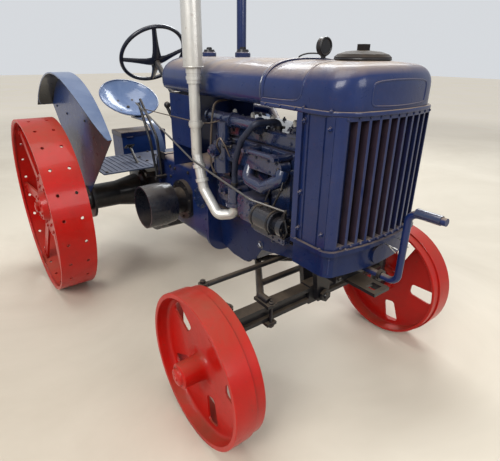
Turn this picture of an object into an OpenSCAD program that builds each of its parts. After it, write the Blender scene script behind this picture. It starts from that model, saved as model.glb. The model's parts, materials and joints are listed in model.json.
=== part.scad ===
// Vintage farm tractor on steel wheels. Millimetres, +X forward, +Y to its left, +Z up.
// Lengths along X are counted from the rear axle and heights from the ground. The whole
// model is then shifted so that its origin lies on the ground, midway along its length.

/* [Layout] */
// Distance between the rear and the front axle
wheelbase = 1600; // [1560:5:1660]
// Track of the rear wheels, middle of rim to middle of rim
rear_track = 1500; // [1460:5:1560]
// Track of the front wheels, middle of rim to middle of rim
front_track = 1180; // [1160:5:1230]
// Height of the crankcase joint above the ground
joint_z = 700; // [690:1:720]

/* [Rear wheels] */
// Diameter over the rear rim
rear_d = 1067; // [1000:1:1110]
// Width of the rear rim
rear_rim_w = 200; // [180:1:230]
// Thickness of the wheel rims
rim_t = 12; // [8:1:16]
// Diameter of the round bead on the rim edges
bead_d = 20; // [16:1:26]
// Number of flat spokes in a rear wheel
spokes = 12; // [8:2:16]
// Number of lug holes in each of the two rows round the rear rim
lug_holes = 24; // [12:12:24]
// Width of a rear spoke
spoke_w = 62; // [45:1:75]
// Diameter of the rear hub plate
hub_plate_d = 400; // [320:5:460]

/* [Front wheels] */
// Diameter over the front rim
front_d = 620; // [590:1:650]
// Width of the front rim
front_rim_w = 130; // [115:1:145]
// Height of the raised outer tread band
band_t = 7; // [4:1:10]
// Number of windows in the front disc
windows = 5; // [4:1:7]

/* [Engine] */
// Distance from the front axle back to the rear face of the engine
engine_back = 600; // [580:5:620]
// Length of the cylinder block
block_l = 620; // [600:5:640]
// Width of the cylinder block
block_w = 270; // [240:5:300]
// Height of the cylinder block above the crankcase joint
block_h = 375; // [340:5:380]
// Height of the cylinder head
head_h = 66; // [55:1:80]
// Depth of the oil pan under the crankcase joint
pan_h = 255; // [240:5:270]

/* [Radiator] */
// Width of the radiator guard
guard_w = 504; // [480:2:520]
// Height of the cooling fins between the two tanks
fin_h = 447; // [430:1:460]
// Depth of the lower tank
low_tank_h = 108; // [90:1:120]
// Depth of the upper tank
top_tank_h = 157; // [145:1:165]
// Number of vertical guard bars
bars = 10; // [8:1:12]
// Width of one guard bar
bar_w = 11; // [8:1:16]
// Diameter of the filler dome on the radiator
dome_d = 190; // [160:2:200]

/* [Fuel tank] */
// Length of the fuel tank
tank_l = 830; // [800:5:840]
// Width of the fuel tank
tank_w = 470; // [450:2:480]
// Height of the fuel tank
tank_h = 174; // [160:2:180]

/* [Pulley and exhaust] */
// Diameter of the belt pulley
pulley_d = 241; // [220:1:250]
// Face width of the belt pulley
pulley_w = 165; // [140:1:175]
// Outer diameter of the exhaust pipe
exhaust_d = 48; // [40:1:56]
// Diameter of the exhaust silencer
silencer_d = 84; // [74:1:96]
// Length of the silencer
silencer_l = 470; // [380:5:520]

/* [Driver's place] */
// Diameter of the steering wheel
wheel_d = 440; // [400:5:460]
// Width of the pan seat
seat_w = 440; // [400:5:450]
// Radius of the rear mudguards round the rear axle
guard_r = 785; // [740:5:800]

/* [Hidden] */
$fn = 48;

// Colours
body_blue = "#1b2b5a";
wheel_red = "#c8281c";
axle_black = "#17181d";
steel_grey = "#6a6c70";
silver = "#c9c7bd";
pale_blue = "#7f97b8";

// Clearances
seat_gap = 0.3;
run_fit = 0.05;
pin_fit = 0.1;

// Main places
rear_r = rear_d / 2;
front_r = front_d / 2;
crank_reach = wheelbase + 535;
guard_front = 38;
guard_back = 135;
guard_w_y = 104;
seat_x = -330;
seat_r = 300;
seat_tilt = 32;
rear_reach = max(rear_r, -guard_r * cos(guard_back),
    seat_r * sin(seat_tilt + asin(seat_w / 2 / seat_r)) - seat_x);
mid_x = (crank_reach - rear_reach) / 2;
engine_x0 = wheelbase - engine_back;
engine_x1 = engine_x0 + block_l;
front_face_x = wheelbase + 95;
pan_z = joint_z - pan_h;
block_top_z = joint_z + block_h;
head_top_z = block_top_z + head_h;

// Radiator
low_tank_z = joint_z;
fin_z = low_tank_z + low_tank_h;
top_tank_z = fin_z + fin_h;
top_z = top_tank_z + top_tank_h;
rad_x0 = front_face_x;
nose_x = rad_x0 + 213;
core_x0 = rad_x0 + 45;
core_l = 110;
side_t = 16;
bow_r = 900;

// Exhaust
stack_x = engine_x0 + 68;
exhaust_x = engine_x0 + 262;
exhaust_y = -block_w / 2 - 73;
exhaust_z = joint_z + 92;

// Fan
cover_x1 = front_face_x - 10;
fan_z = joint_z + 330;
fan_shaft_d = 20;

// Fuel tank
tank_x1 = wheelbase - 120;
tank_x0 = tank_x1 - tank_l;
tank_z0 = top_z - tank_h;

// Gearbox
gear_x0 = 380;
bell_x0 = engine_x0 - 180;
gear_w = 300;
gear_top_z = 850;
axle_tube_y = rear_track / 2 - 125;
axle_shaft_d = 70;
collar_y = axle_tube_y - 105;

// Belt pulley
pulley_x = bell_x0 - 152;
pulley_z = joint_z - 58;
pulley_y0 = 248;
pulley_shaft_d = 44;

// Rear rims
lug_hole_d = 18;

// Front axle
beam_z = 440;
beam_h = 74;
beam_t = 56;
pivot_d = 41;
king_y = front_track / 2 - 104;
king_d = 30;
king_boss_d = 62;
stub_d = 44;
arm_len = 172;
arm_z = 524;
link_eye_d = 40;
link_pin_d = 16;
tie_d = 24;
clamp_y = 290;
ball_x = engine_x0 + 180;
ball_z = pan_z - 22;
ball_d = 50;
support_z = joint_z - 96;
tie_z = arm_z + 20.5;
drag_arm_z = arm_z + 44;
drag_z = drag_arm_z + 22;

// Steering
column_tilt = 42;
wheel_hub = [tank_x0 - 562, 0, tank_z0 + 147];
dish = 50;
drop_x = bell_x0 - 210;
drop_y = 196;
drop_z = joint_z + 70;
drop_len = arm_len;
drag_y = drop_y + 14;

// Dash
dash_y = 200;

// Air cleaner
cleaner_x = tank_x0 - 25;
cleaner_y = dash_y + 88;
cleaner_z = joint_z + 205;

// Driver's place
lever_x = gear_x0 + 50;
lever_top = [221, -200, 1160];
seat_z = 1000;
case_top_z = rear_r + 235;
plate_z = case_top_z + 8;

// Sections and sweeps
function arc(cx, cy, r, a0, a1, n) =
    [for (i = [0:n]) let(a = a0 + (a1 - a0) * i / n) [cx + r * cos(a), cy + r * sin(a)]];
function rounded(x0, y0, x1, y1, r, n = 8) = concat(
    arc(x1 - r, y0 + r, r, -90, 0, n), arc(x1 - r, y1 - r, r, 0, 90, n),
    arc(x0 + r, y1 - r, r, 90, 180, n), arc(x0 + r, y0 + r, r, 180, 270, n));
function unit(v) = v / norm(v);

module along_x(x0, x1) translate([x0, 0, 0]) rotate([90, 0, 90]) linear_extrude(x1 - x0) children();
module along_y(y0, y1) translate([0, y1, 0]) rotate([90, 0, 0]) linear_extrude(y1 - y0) children();
module along_z(z0, z1) translate([0, 0, z0]) linear_extrude(z1 - z0) children();
module x_rod(x0, x1, y, z, d) translate([x0, y, z]) rotate([0, 90, 0]) cylinder(d = d, h = x1 - x0);
module y_rod(x, y0, y1, z, d) translate([x, y0, z]) rotate([-90, 0, 0]) cylinder(d = d, h = y1 - y0);
module z_rod(x, y, z0, z1, d) translate([x, y, z0]) cylinder(d = d, h = z1 - z0);
module box(x0, x1, y0, y1, z0, z1) translate([x0, y0, z0]) cube([x1 - x0, y1 - y0, z1 - z0]);
module rod(a, b, d) {
    v = b - a;
    translate(a) rotate([0, acos(v.z / norm(v)), atan2(v.y, v.x)]) cylinder(d = d, h = norm(v));
}
module left_of(on) {
    if (on) mirror([0, 1, 0]) children();
    else children();
}

// Round bar or tube through a list of points, each corner bent to the same radius. The bends
// are a hair thicker than the straights, which run a little way into them.
module bent(pts, r, d) {
    last = len(pts) - 1;
    u = [for (i = [0:last - 1]) unit(pts[i + 1] - pts[i])];
    cut = concat([0], [for (i = [1:last - 1]) r * tan(acos(u[i - 1] * u[i]) / 2)], [0]);
    poke = 2;
    for (i = [0:last - 1]) rod(pts[i] + u[i] * (cut[i] - (i > 0 ? poke : 0)),
        pts[i + 1] - u[i] * (cut[i + 1] - (i < last - 1 ? poke : 0)), d);
    for (i = [1:last - 1]) {
        a = u[i - 1];
        n = unit(u[i] - a * (a * u[i]));
        z = cross(-n, a);
        c = pts[i] - a * cut[i] + n * r;
        multmatrix([[-n.x, a.x, z.x, c.x], [-n.y, a.y, z.y, c.y], [-n.z, a.z, z.z, c.z], [0, 0, 0, 1]])
            rotate_extrude(angle = acos(a * u[i])) translate([r, 0]) circle(d = d + 0.6);
    }
}

// Places a child made along its own +Z so that +Z points to the tractor's right
module wheel_right(x, z) translate([x, 0, z]) rotate([90, 0, 0]) children();

module oil_pan() color(body_blue) difference() {
    union() {
        along_y(-148, 148) polygon([[engine_x0, pan_z + 25], [engine_x0 + 100, pan_z],
            [ball_x + 22, pan_z], [ball_x + 115, pan_z + 50], [ball_x + 175, joint_z - 125],
            [front_face_x, joint_z - 55], [front_face_x, joint_z], [engine_x0, joint_z]]);
        z_rod(ball_x, 0, pan_z - 9, pan_z + 20, 62);
    }
    for (s = [-1, 1]) along_x(engine_x0 - 1, front_face_x + 1)
        polygon([[s * 149, pan_z - 1], [s * 104, pan_z - 1], [s * 128, joint_z - 24],
            [s * 149, joint_z - 24]]);
    translate([ball_x, 0, ball_z]) sphere(d = ball_d + 1);
    box(ball_x + 8, ball_x + 60, -40, 40, pan_z - 10, pan_z + 3);
}

module engine_block() color(body_blue) {
    along_x(engine_x0, engine_x1)
        polygon(rounded(-block_w / 2, joint_z, block_w / 2, block_top_z, 14));
    for (i = [0:3]) translate([engine_x0 + 80 + i * 142, 0, joint_z + 210]) rotate([90, 0, 0])
        linear_extrude(block_w / 2 + 12) polygon(rounded(-55, -105, 55, 105, 20));
    difference() {
        union() {
            box(engine_x1, cover_x1, -110, 110, joint_z, joint_z + 130);
            x_rod(engine_x1, cover_x1, 0, joint_z + 130, 220);
            x_rod(engine_x1, cover_x1, 0, fan_z, 64);
            box(engine_x1, cover_x1, -20, 20, joint_z + 130, fan_z);
        }
        x_rod(engine_x1 + 10, cover_x1 + 1, 0, fan_z, fan_shaft_d + 2 * run_fit);
    }
}

module cylinder_head() color(body_blue) {
    along_x(engine_x0 + 10, engine_x1 - 10)
        polygon(rounded(-block_w / 2 + 6, block_top_z, block_w / 2 - 6, head_top_z, 14));
    for (i = [0:3]) {
        z_rod(engine_x0 + 90 + i * 138, -84, head_top_z - 1, head_top_z + 9, 44);
        z_rod(engine_x0 + 90 + i * 138, -84, head_top_z + 8, head_top_z + 38, 16);
    }
    z_rod(engine_x1 - 70, 0, head_top_z - 1, top_tank_z, 62);
    z_rod(engine_x1 - 70, 0, top_tank_z - 12, top_tank_z, 90);
}

module manifold() color(body_blue) {
    y0 = -block_w / 2 - 12;
    pipe_z = head_top_z + 18;
    port_z = block_top_z - 90;
    x_rod(engine_x0 + 4, engine_x0 + 385, y0 - 18, pipe_z, 54);
    for (x = [4, 190, 373]) x_rod(engine_x0 + x, engine_x0 + x + 12, y0 - 18, pipe_z, 68);
    z_rod(engine_x0 + 150, y0 - 40, port_z, pipe_z - 10, 58);
    z_rod(engine_x0 + 150, y0 - 46, port_z - 60, port_z + 80, 84);
    y_rod(engine_x0 + 150, y0 - 104, y0 - 46, port_z + 40, 60);
    y_rod(engine_x0 + 150, y0 - 112, y0 - 103, port_z + 40, 40);
    along_y(y0 - 50, y0) polygon(rounded(engine_x0 + 60, port_z, engine_x0 + 560, port_z + 62, 26));
    for (x = [engine_x0 + 345, engine_x0 + 540]) y_rod(x, y0 - 58, y0 + 12, block_top_z - 16, 28);
    x_rod(engine_x0 + 345, engine_x0 + 540, y0 - 58, block_top_z - 16, 24);
    bent([[engine_x0 + 335, y0 - 28, port_z + 4], [engine_x0 + 345, y0 - 52, port_z - 52],
        [engine_x0 + 455, y0 - 54, port_z - 62], [engine_x0 + 548, y0 - 44, port_z - 10],
        [engine_x0 + 548, y0 - 30, port_z + 24]], 36, 54);
    z_rod(exhaust_x, exhaust_y, exhaust_z, joint_z + 176, 62);
    z_rod(exhaust_x, exhaust_y, exhaust_z, exhaust_z + 14, 84);
    y_rod(exhaust_x, exhaust_y, y0, joint_z + 148, 56);
}

module exhaust() color(silver) {
    y = -block_w / 2 - 149;
    bent([[exhaust_x, exhaust_y, exhaust_z - seat_gap], [exhaust_x, exhaust_y, joint_z + 48],
        [exhaust_x - 62, y + 24, joint_z + 36], [stack_x + 48, y + 2, joint_z + 145],
        [stack_x, y, joint_z + 300], [stack_x, y, top_tank_z + 55]],
        34, exhaust_d);
    low = [stack_x + 48, y + 2, joint_z + 145];
    u = unit([stack_x, y, joint_z + 300] - low);
    for (t = [34, 100]) rod(low + u * t, low + u * (t + 16), exhaust_d + 12);
    z_rod(stack_x, y, joint_z + 422, joint_z + 450, exhaust_d + 9);
    z_rod(stack_x, y, top_tank_z + 53, top_tank_z + 95, exhaust_d + 12);
    z_rod(stack_x, y, top_tank_z + 94, top_tank_z + 118, silencer_d - 20);
    z_rod(stack_x, y, top_tank_z + 117, top_tank_z + 93 + silencer_l, silencer_d);
    z_rod(stack_x, y, top_tank_z + 92 + silencer_l, top_tank_z + 116 + silencer_l, silencer_d - 20);
    z_rod(stack_x, y, top_tank_z + 115 + silencer_l, top_tank_z + 183 + silencer_l, exhaust_d + 4);
}

module air_cleaner() color(body_blue) {
    translate([cleaner_x, cleaner_y, cleaner_z]) rotate_extrude() polygon([[0, 0], [62, 0], [78, 14],
        [78, 120], [84, 120], [84, 132], [78, 132], [78, 300], [50, 330], [30, 336], [0, 336]]);
    box(cleaner_x - 6, tank_x0 + 60, dash_y + seat_gap, cleaner_y - 70,
        cleaner_z + 135, cleaner_z + 245);
    bent([[cleaner_x + 60, cleaner_y, cleaner_z + 235], [cleaner_x + 290, cleaner_y, cleaner_z + 235],
        [engine_x0 + 160, block_w / 2 + 50, cleaner_z + 105],
        [engine_x0 + 160, block_w / 2 + seat_gap, cleaner_z + 105]], 34, 44);
    translate([cleaner_x, cleaner_y, cleaner_z + 335]) rotate_extrude()
        polygon(concat([[0, 0], [36, 0], [36, 8], [27, 10], [27, 560], [46, 572]],
            arc(26, 592, 26, -20, 80, 6), [[0, 622]]));
}

module breather_pipe() color(axle_black) {
    y0 = -block_w / 2 - 70;
    z1 = head_top_z + 36;
    bent([[engine_x0 + 427, y0 + 105, head_top_z + seat_gap], [engine_x0 + 427, y0 + 105, z1],
        [engine_x0 + 415, y0 - 12, z1], [engine_x0 + 335, y0 - 20, head_top_z - 42],
        [engine_x0 + 288, y0 - 16, block_top_z - 70],
        [exhaust_x, exhaust_y, joint_z + 232], [exhaust_x, exhaust_y, joint_z + 176 + seat_gap]], 26, 26);
}

module governor_housing() color(body_blue) {
    y0 = -block_w / 2;
    along_y(y0 - 88, y0 - 12)
        polygon(rounded(engine_x0 + 305, joint_z + 52, engine_x0 + 440, joint_z + 172, 34));
    y_rod(engine_x0 + 372, y0 - 100, y0 - 87, joint_z + 118, 84);
    along_y(y0 - 60, y0) polygon(rounded(engine_x0 + 385, joint_z + 10, engine_x0 + 595, joint_z + 58, 12));
    along_y(y0 - 52, y0 - 12)
        polygon(rounded(engine_x0 + 100, joint_z + 80, engine_x0 + 215, joint_z + 190, 26));
}
module magneto() color(axle_black) {
    y0 = -block_w / 2 - 92;
    z0 = joint_z + 108;
    x_rod(engine_x0 + 446, engine_x0 + 576, y0 + 8, z0, 98);
    box(engine_x0 + 452, engine_x0 + 562, y0 - 30, y0 + 46, z0 - 46, z0);
    x_rod(engine_x0 + 576, engine_x0 + 606, y0 + 8, z0, 60);
    x_rod(engine_x0 + 606, engine_x0 + 632, y0 + 8, z0, 82);
}

module gearbox() color(body_blue) difference() {
    union() {
        along_x(bell_x0, engine_x0) polygon(rounded(-182, pan_z, 182, 935, 90, 10));
        along_x(engine_x0 - 22, engine_x0) polygon(rounded(-196, pan_z - 12, 196, 948, 98, 10));
        along_x(gear_x0, bell_x0) polygon(rounded(-gear_w / 2, pan_z + 10, gear_w / 2, gear_top_z, 34));
        along_x(gear_x0, gear_x0 + 20) polygon(rounded(-176, pan_z - 6, 176, gear_top_z + 6, 40));
    }
    y_rod(drop_x, 100, 400, drop_z, 40 + 2 * pin_fit);
}

module trumpet(left) left_of(left) wheel_right(0, rear_r) rotate_extrude() difference() {
    polygon([[0, 150], [150, 150], [150, 172], [112, 186], [84, 330], [82, collar_y - 16],
        [132, collar_y - 16], [132, collar_y], [81, collar_y], [78, axle_tube_y - 60],
        [98, axle_tube_y - 52], [98, axle_tube_y], [0, axle_tube_y]]);
    translate([0, axle_tube_y - 120]) square([axle_shaft_d / 2 + run_fit, 130]);
}
module rear_axle_case() color(axle_black) {
    difference() {
        union() {
            y_rod(0, -150, 150, rear_r, 470);
            y_rod(70, -120, 120, rear_r - 60, 470);
            along_x(0, gear_x0) polygon(rounded(-150, rear_r - 170, 150, case_top_z, 40));
        }
        box(-300, -205, -200, 200, 300, 900);
    }
    along_x(gear_x0 - 20, gear_x0) polygon(rounded(-176, pan_z - 6, 176, gear_top_z + 6, 40));
    for (left = [false, true]) trumpet(left);
}

module pulley_housing() color(axle_black) difference() {
    union() {
        y_rod(pulley_x, -176, -gear_w / 2, pulley_z, 230);
        y_rod(pulley_x, -pulley_y0 + 5, -176, pulley_z, 150);
    }
    y_rod(pulley_x, -pulley_y0 + 4, -pulley_y0 + 64, pulley_z, pulley_shaft_d + 2 * run_fit);
}
module belt_pulley() color(steel_grey) wheel_right(pulley_x, pulley_z) rotate_extrude()
    polygon([[0, pulley_y0 - 55], [pulley_shaft_d / 2, pulley_y0 - 55], [pulley_shaft_d / 2, pulley_y0],
        [pulley_d / 2 - 8, pulley_y0], [pulley_d / 2, pulley_y0 + pulley_w / 3],
        [pulley_d / 2, pulley_y0 + pulley_w * 2 / 3], [pulley_d / 2 - 3, pulley_y0 + pulley_w],
        [pulley_d / 2 - 12, pulley_y0 + pulley_w], [pulley_d / 2 - 12, pulley_y0 + 22],
        [36, pulley_y0 + 22], [36, pulley_y0 + 60], [0, pulley_y0 + 60]]);

module front_support() color(axle_black) {
    along_y(-105, 105) polygon([[front_face_x, support_z], [front_face_x + 110, support_z],
        [front_face_x + 110, joint_z], [front_face_x, joint_z]]);
    for (x = [wheelbase - beam_t / 2 - 28, wheelbase + beam_t / 2 + 2]) along_x(x, x + 26)
        polygon([[-60, joint_z - 90], [-30, beam_z - 28], [30, beam_z - 28], [60, joint_z - 90]]);
    box(wheelbase - beam_t / 2 - 28, front_face_x + 10, -60, 60, support_z, support_z + 8);
    x_rod(wheelbase - 66, wheelbase + 66, 0, beam_z, pivot_d);
}

module beam_profile() union() {
    for (s = [-1, 1]) translate([0, beam_z + s * (beam_h / 2 - 9)])
        square([beam_t, 18], center = true);
    translate([0, beam_z]) square([20, beam_h - 20], center = true);
}
module front_axle() color(axle_black) difference() {
    union() {
        translate([wheelbase, 0, 0]) rotate([90, 0, 0]) translate([0, 0, -king_y + 20])
            linear_extrude(2 * king_y - 40) beam_profile();
        box(wheelbase - beam_t / 2, wheelbase + beam_t / 2, -60, 60, beam_z - 46, beam_z + 46);
        for (s = [-1, 1]) z_rod(wheelbase, s * king_y, beam_z - 62, beam_z + 50, king_boss_d);
    }
    x_rod(wheelbase - 60, wheelbase + 60, 0, beam_z, pivot_d + 2 * seat_gap);
    for (s = [-1, 1]) z_rod(wheelbase, s * king_y, beam_z - 80, beam_z + 80, king_d + 2 * run_fit);
}

module radius_rod() color(axle_black) {
    arm_d = 34;
    x1 = wheelbase - beam_t / 2;
    x2 = wheelbase + beam_t / 2;
    z0 = beam_z - beam_h / 2 - seat_gap;
    z1 = beam_z + beam_h / 2 + seat_gap;
    zr = z1 + arm_d / 2 + 0.2;
    start = [ball_x + 16, 14, ball_z];
    corner = [wheelbase - 34, clamp_y, zr];
    translate([ball_x, 0, ball_z]) sphere(d = ball_d);
    for (left = [false, true]) left_of(!left) {
        bent([start, corner, [wheelbase + 24, clamp_y, zr]], 40, arm_d);
        for (z = [z0 - 14, z1]) box(x1 - 20, x2 + 20, clamp_y - 24, clamp_y + 24, z, z + 14);
        for (x = [x1 - 10, x2 + 10]) z_rod(x, clamp_y, z0 - 24, z1 + 24, 14);
    }
    mid = start + (corner - start) * 0.72;
    rod([mid.x, -mid.y, mid.z], mid, 30);
}

module radiator_core() color(axle_black) box(core_x0, core_x0 + core_l,
    -guard_w / 2 + side_t + seat_gap, guard_w / 2 - side_t - seat_gap, fin_z, top_tank_z);

// Plan outline of the radiator: flat back, bowed front, rounded corners
function nose(inset, n = 12, r = 46) = let(h = guard_w / 2 - inset,
    a = asin((h - r) / bow_r), cx = nose_x - inset - bow_r)
    concat(arc(cx, 0, bow_r, -a, a, n),
        arc(cx + (bow_r - r) * cos(a), h - r, r, a + 10, 90, 6), [[rad_x0, h], [rad_x0, -h]],
        arc(cx + (bow_r - r) * cos(a), -h + r, r, -90, -a - 10, 6));

module radiator_guard() color(body_blue) {
    difference() {
        along_z(fin_z, top_tank_z) polygon(nose(4));
        along_z(fin_z - 1, top_tank_z + 1) polygon(nose(34));
        pitch = (guard_w - 64) / bars;
        for (i = [0:bars - 1]) translate([0, (i - (bars - 1) / 2) * pitch, 0])
            box(core_x0 + core_l + 8, nose_x + 10, -(pitch - bar_w) / 2, (pitch - bar_w) / 2,
                fin_z + 14, top_tank_z - 14);
        box(rad_x0 - 1, core_x0 + core_l + 2, -300, 300, fin_z - 1, top_tank_z + 1);
    }
}
module radiator_side(left) left_of(left) color(body_blue) {
    along_z(fin_z, top_tank_z) polygon([[rad_x0, -guard_w / 2 + 4], [core_x0 + core_l + 2, -guard_w / 2 + 4],
        [core_x0 + core_l + 2, -guard_w / 2 + side_t], [rad_x0, -guard_w / 2 + side_t]]);
    along_z(fin_z, top_tank_z) polygon([[rad_x0, -guard_w / 2 - 6], [rad_x0 + 26, -guard_w / 2 - 6],
        [rad_x0 + 26, -guard_w / 2 + 4], [rad_x0, -guard_w / 2 + 4]]);
}
module bottom_tank() color(body_blue) {
    along_z(fin_z - 16, fin_z) polygon(nose(-8));
    along_z(low_tank_z, fin_z - 16) polygon(nose(10));
    x_rod(nose_x - 14, nose_x, 0, low_tank_z + 46, 76);
}
module top_tank() color(body_blue) {
    crown_r = 650;
    edge_r = 50;
    along_z(top_tank_z, top_tank_z + 14) polygon(nose(-8));
    intersection() {
        along_z(top_tank_z + 14, top_z + 1) polygon(nose(2, 20, 60));
        along_x(rad_x0, nose_x + 20) polygon(rounded(2 - guard_w / 2, top_tank_z - 150,
            guard_w / 2 - 2, top_z, 84, 12));
        translate([nose_x - 2 - bow_r, 0, 0]) rotate_extrude($fn = 96)
            polygon(concat([[0, top_tank_z], [bow_r, top_tank_z]],
                arc(bow_r - edge_r, top_z - edge_r - 24, edge_r, 0, 80, 10),
                [[bow_r - 180, top_z + 1], [0, top_z + 1]]));
        translate([rad_x0 + 15, 0, top_z - crown_r]) sphere(r = crown_r, $fn = 96);
    }
    along_x(tank_x1 + 12, rad_x0) difference() {
        polygon(rounded(10 - guard_w / 2, top_tank_z - 150, guard_w / 2 - 10, top_z - 4, 96, 14));
        translate([-guard_w, top_tank_z - 200]) square([2 * guard_w, 200]);
    }
}
module radiator_cap() color(axle_black) translate([nose_x - 180, 0, top_z]) {
    rotate_extrude() polygon([[0, 0], [dome_d / 2, 0], [dome_d / 2, 8], [dome_d / 2 - 10, 17],
        [dome_d / 2 - 36, 25], [20, 29], [0, 29]]);
    along_z(29, 48) square(30, center = true);
}
module temperature_gauge() color(axle_black) {
    z_rod(wheelbase - 54, 0, top_z, top_z + 14, 18);
    x_rod(wheelbase - 63, wheelbase - 45, 0, top_z + 42, 64);
}

module fuel_tank() color(body_blue) {
    intersection() {
        along_x(tank_x0, tank_x1) polygon(rounded(-tank_w / 2, tank_z0, tank_w / 2, top_z + 10, 78, 10));
        along_x(tank_x0, tank_x1) polygon(concat([[-tank_w / 2, tank_z0], [tank_w / 2, tank_z0]],
            arc(0, top_z - 700, 700, 70, 110, 14)));
    }
    along_x(tank_x1, tank_x1 + 11.7)
        polygon(rounded(-tank_w / 2 - 8, tank_z0 + 4, tank_w / 2 + 8, top_z + 8, 70, 10));
    for (x = [tank_x0 + 90, tank_x0 + 385]) z_rod(x, 0, top_z - 6, top_z + 22, 72);
}
module dash_panel() color(body_blue) {
    x0 = tank_x0 + 6;
    box(x0, x0 + 4, -dash_y, dash_y, gear_top_z, tank_z0);
    for (s = [-1, 1]) box(x0 + 4, x0 + 209, s * (dash_y - 2) - 2, s * (dash_y - 2) + 2,
        gear_top_z + 130, tank_z0);
}

module steering_column() color(steel_grey) {
    a = [cos(column_tilt), 0, -sin(column_tilt)];
    rod(wheel_hub + a * (18 + seat_gap), wheel_hub + a * 560, 34);
    box(tank_x0 - 160, tank_x0 - 46, -70, 70, gear_top_z, gear_top_z + 150);
}
module steering_wheel() color(axle_black) translate(wheel_hub) rotate([0, 90 + column_tilt, 0]) {
    translate([0, 0, -dish]) rotate_extrude() translate([wheel_d / 2 - 12, 0]) circle(d = 24);
    cylinder(d = 52, h = 18);
    for (i = [0:3]) rotate([0, 0, 12 + i * 90])
        bent([[10, 0, 6], [60, 0, 0], [wheel_d / 2 - 14, 0, -dish]], 30, 18);
}

module seat_pan() color(pale_blue) {
    half = asin(seat_w / 2 / seat_r);
    translate([seat_x, 0, seat_z - 12 + seat_r]) rotate([0, 180 + seat_tilt, 0])
        rotate_extrude($fn = 96) polygon(concat(arc(0, 0, seat_r, 90 - half, 90, 14),
            arc(0, 0, seat_r - 6, 90, 90 - half, 14)));
}
module seat_spring() color(pale_blue) {
    r = seat_z - 12 - seat_gap - plate_z;
    along_y(-30, 30) polygon(concat(arc(60 - r, plate_z, r, 0, 90, 18),
        [[seat_x - 40, plate_z + r], [seat_x - 40, plate_z + r - 12]],
        arc(60 - r, plate_z, r - 12, 90, 0, 18)));
}

module fender(left) left_of(left) color(pale_blue) intersection() {
    wheel_right(0, rear_r) difference() {
        union() {
            translate([0, 0, collar_y]) linear_extrude(guard_w_y) difference() {
                circle(r = guard_r, $fn = 96);
                circle(r = guard_r - 4, $fn = 96);
            }
            translate([0, 0, collar_y]) linear_extrude(4) difference() {
                circle(r = guard_r - 2, $fn = 96);
                circle(r = 88);
            }
        }
        translate([0, 0, collar_y - 1]) linear_extrude(210) polygon([[0, 0],
            1200 * [cos(guard_front), sin(guard_front)], [1200, -1200], [-1200, -1200],
            1700 * [cos(guard_back), sin(guard_back)]]);
    }
    along_z(rear_r, rear_r + guard_r + 1) polygon(concat([[-guard_r, -collar_y - guard_w_y - 1],
        [-guard_r, -collar_y + 1], [guard_r, -collar_y + 1], [guard_r, -collar_y - 5]],
        [for (i = [0:10]) let(a = i * 9) [guard_r * cos(guard_front) + 2 - 420 * (1 - cos(a)),
            -collar_y - 5 - (guard_w_y - 4) * sin(a)]]));
}
module foot_plate() color(steel_grey) difference() {
    box(-60, gear_x0 - 22, 15 - collar_y, collar_y - 15, case_top_z, plate_z);
    for (s = [-1, 1]) for (i = [0:9]) box(-40, gear_x0 - 40, s * (190 + i * 33) - 7, s * (190 + i * 33) + 7,
        plate_z - 3, plate_z + 1);
}
module toolbox() color(body_blue) box(-420, -223 - seat_gap, -170, 170, rear_r + 71.5, rear_r + 356.5);

module gear_lever() color(axle_black) {
    knob = [lever_x - 100, -60, gear_top_z + 285];
    bent([[lever_x, 0, gear_top_z], [lever_x, 0, gear_top_z + 40], knob - [0, 0, 15]], 30, 20);
    translate(knob) sphere(d = 40);
}
module hand_levers() color(axle_black) {
    bent([[lever_x, -176, gear_top_z - 130], [lever_x - 30, -176, 960],
        [lever_top.x - 10, -182, 1165]], 120, 16);
    bent([[lever_x, -208, gear_top_z - 130], [lever_x - 60, -208, 940],
        [lever_top.x + 40, -214, 1150]], 120, 16);
    y_rod(lever_x, -218, -gear_w / 2, gear_top_z - 124, 24);
}
module control_rods() color(steel_grey) {
    end = [engine_x0 + 619, -block_w / 2 - 84, joint_z + 172];
    bent([[lever_top.x + 38, -230, 1150], [engine_x0 + 100, -328, joint_z + 285],
        [engine_x0 + 500, -300, joint_z + 205], end], 60, 9);
    z_rod(end.x, end.y, joint_z + 149 + seat_gap, end.z + 6, 12);
}

module drawbar() color(axle_black) difference() {
    union() {
        box(-223, -205, -80, 80, rear_r - 100, rear_r + 100);
        box(-241, -223, -45, 45, 330, rear_r + 60);
        box(-440, -223, -45, 45, 330, 352);
    }
    z_rod(-400, 0, 320, 360, 28);
}
module tow_plate() color(axle_black) difference() {
    box(front_face_x + 20, wheelbase + 345, -45, 45, support_z - 14, support_z);
    box(wheelbase + 285, wheelbase + 325, -24, 24, support_z - 15, support_z + 1);
}
module starting_crank() color(axle_black) bent([[front_face_x + 110, 0, joint_z - 36],
    [wheelbase + 398, 0, joint_z - 36], [wheelbase + 406, -12, joint_z + 245],
    [crank_reach, -12, joint_z + 252]], 36, 26);

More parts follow.
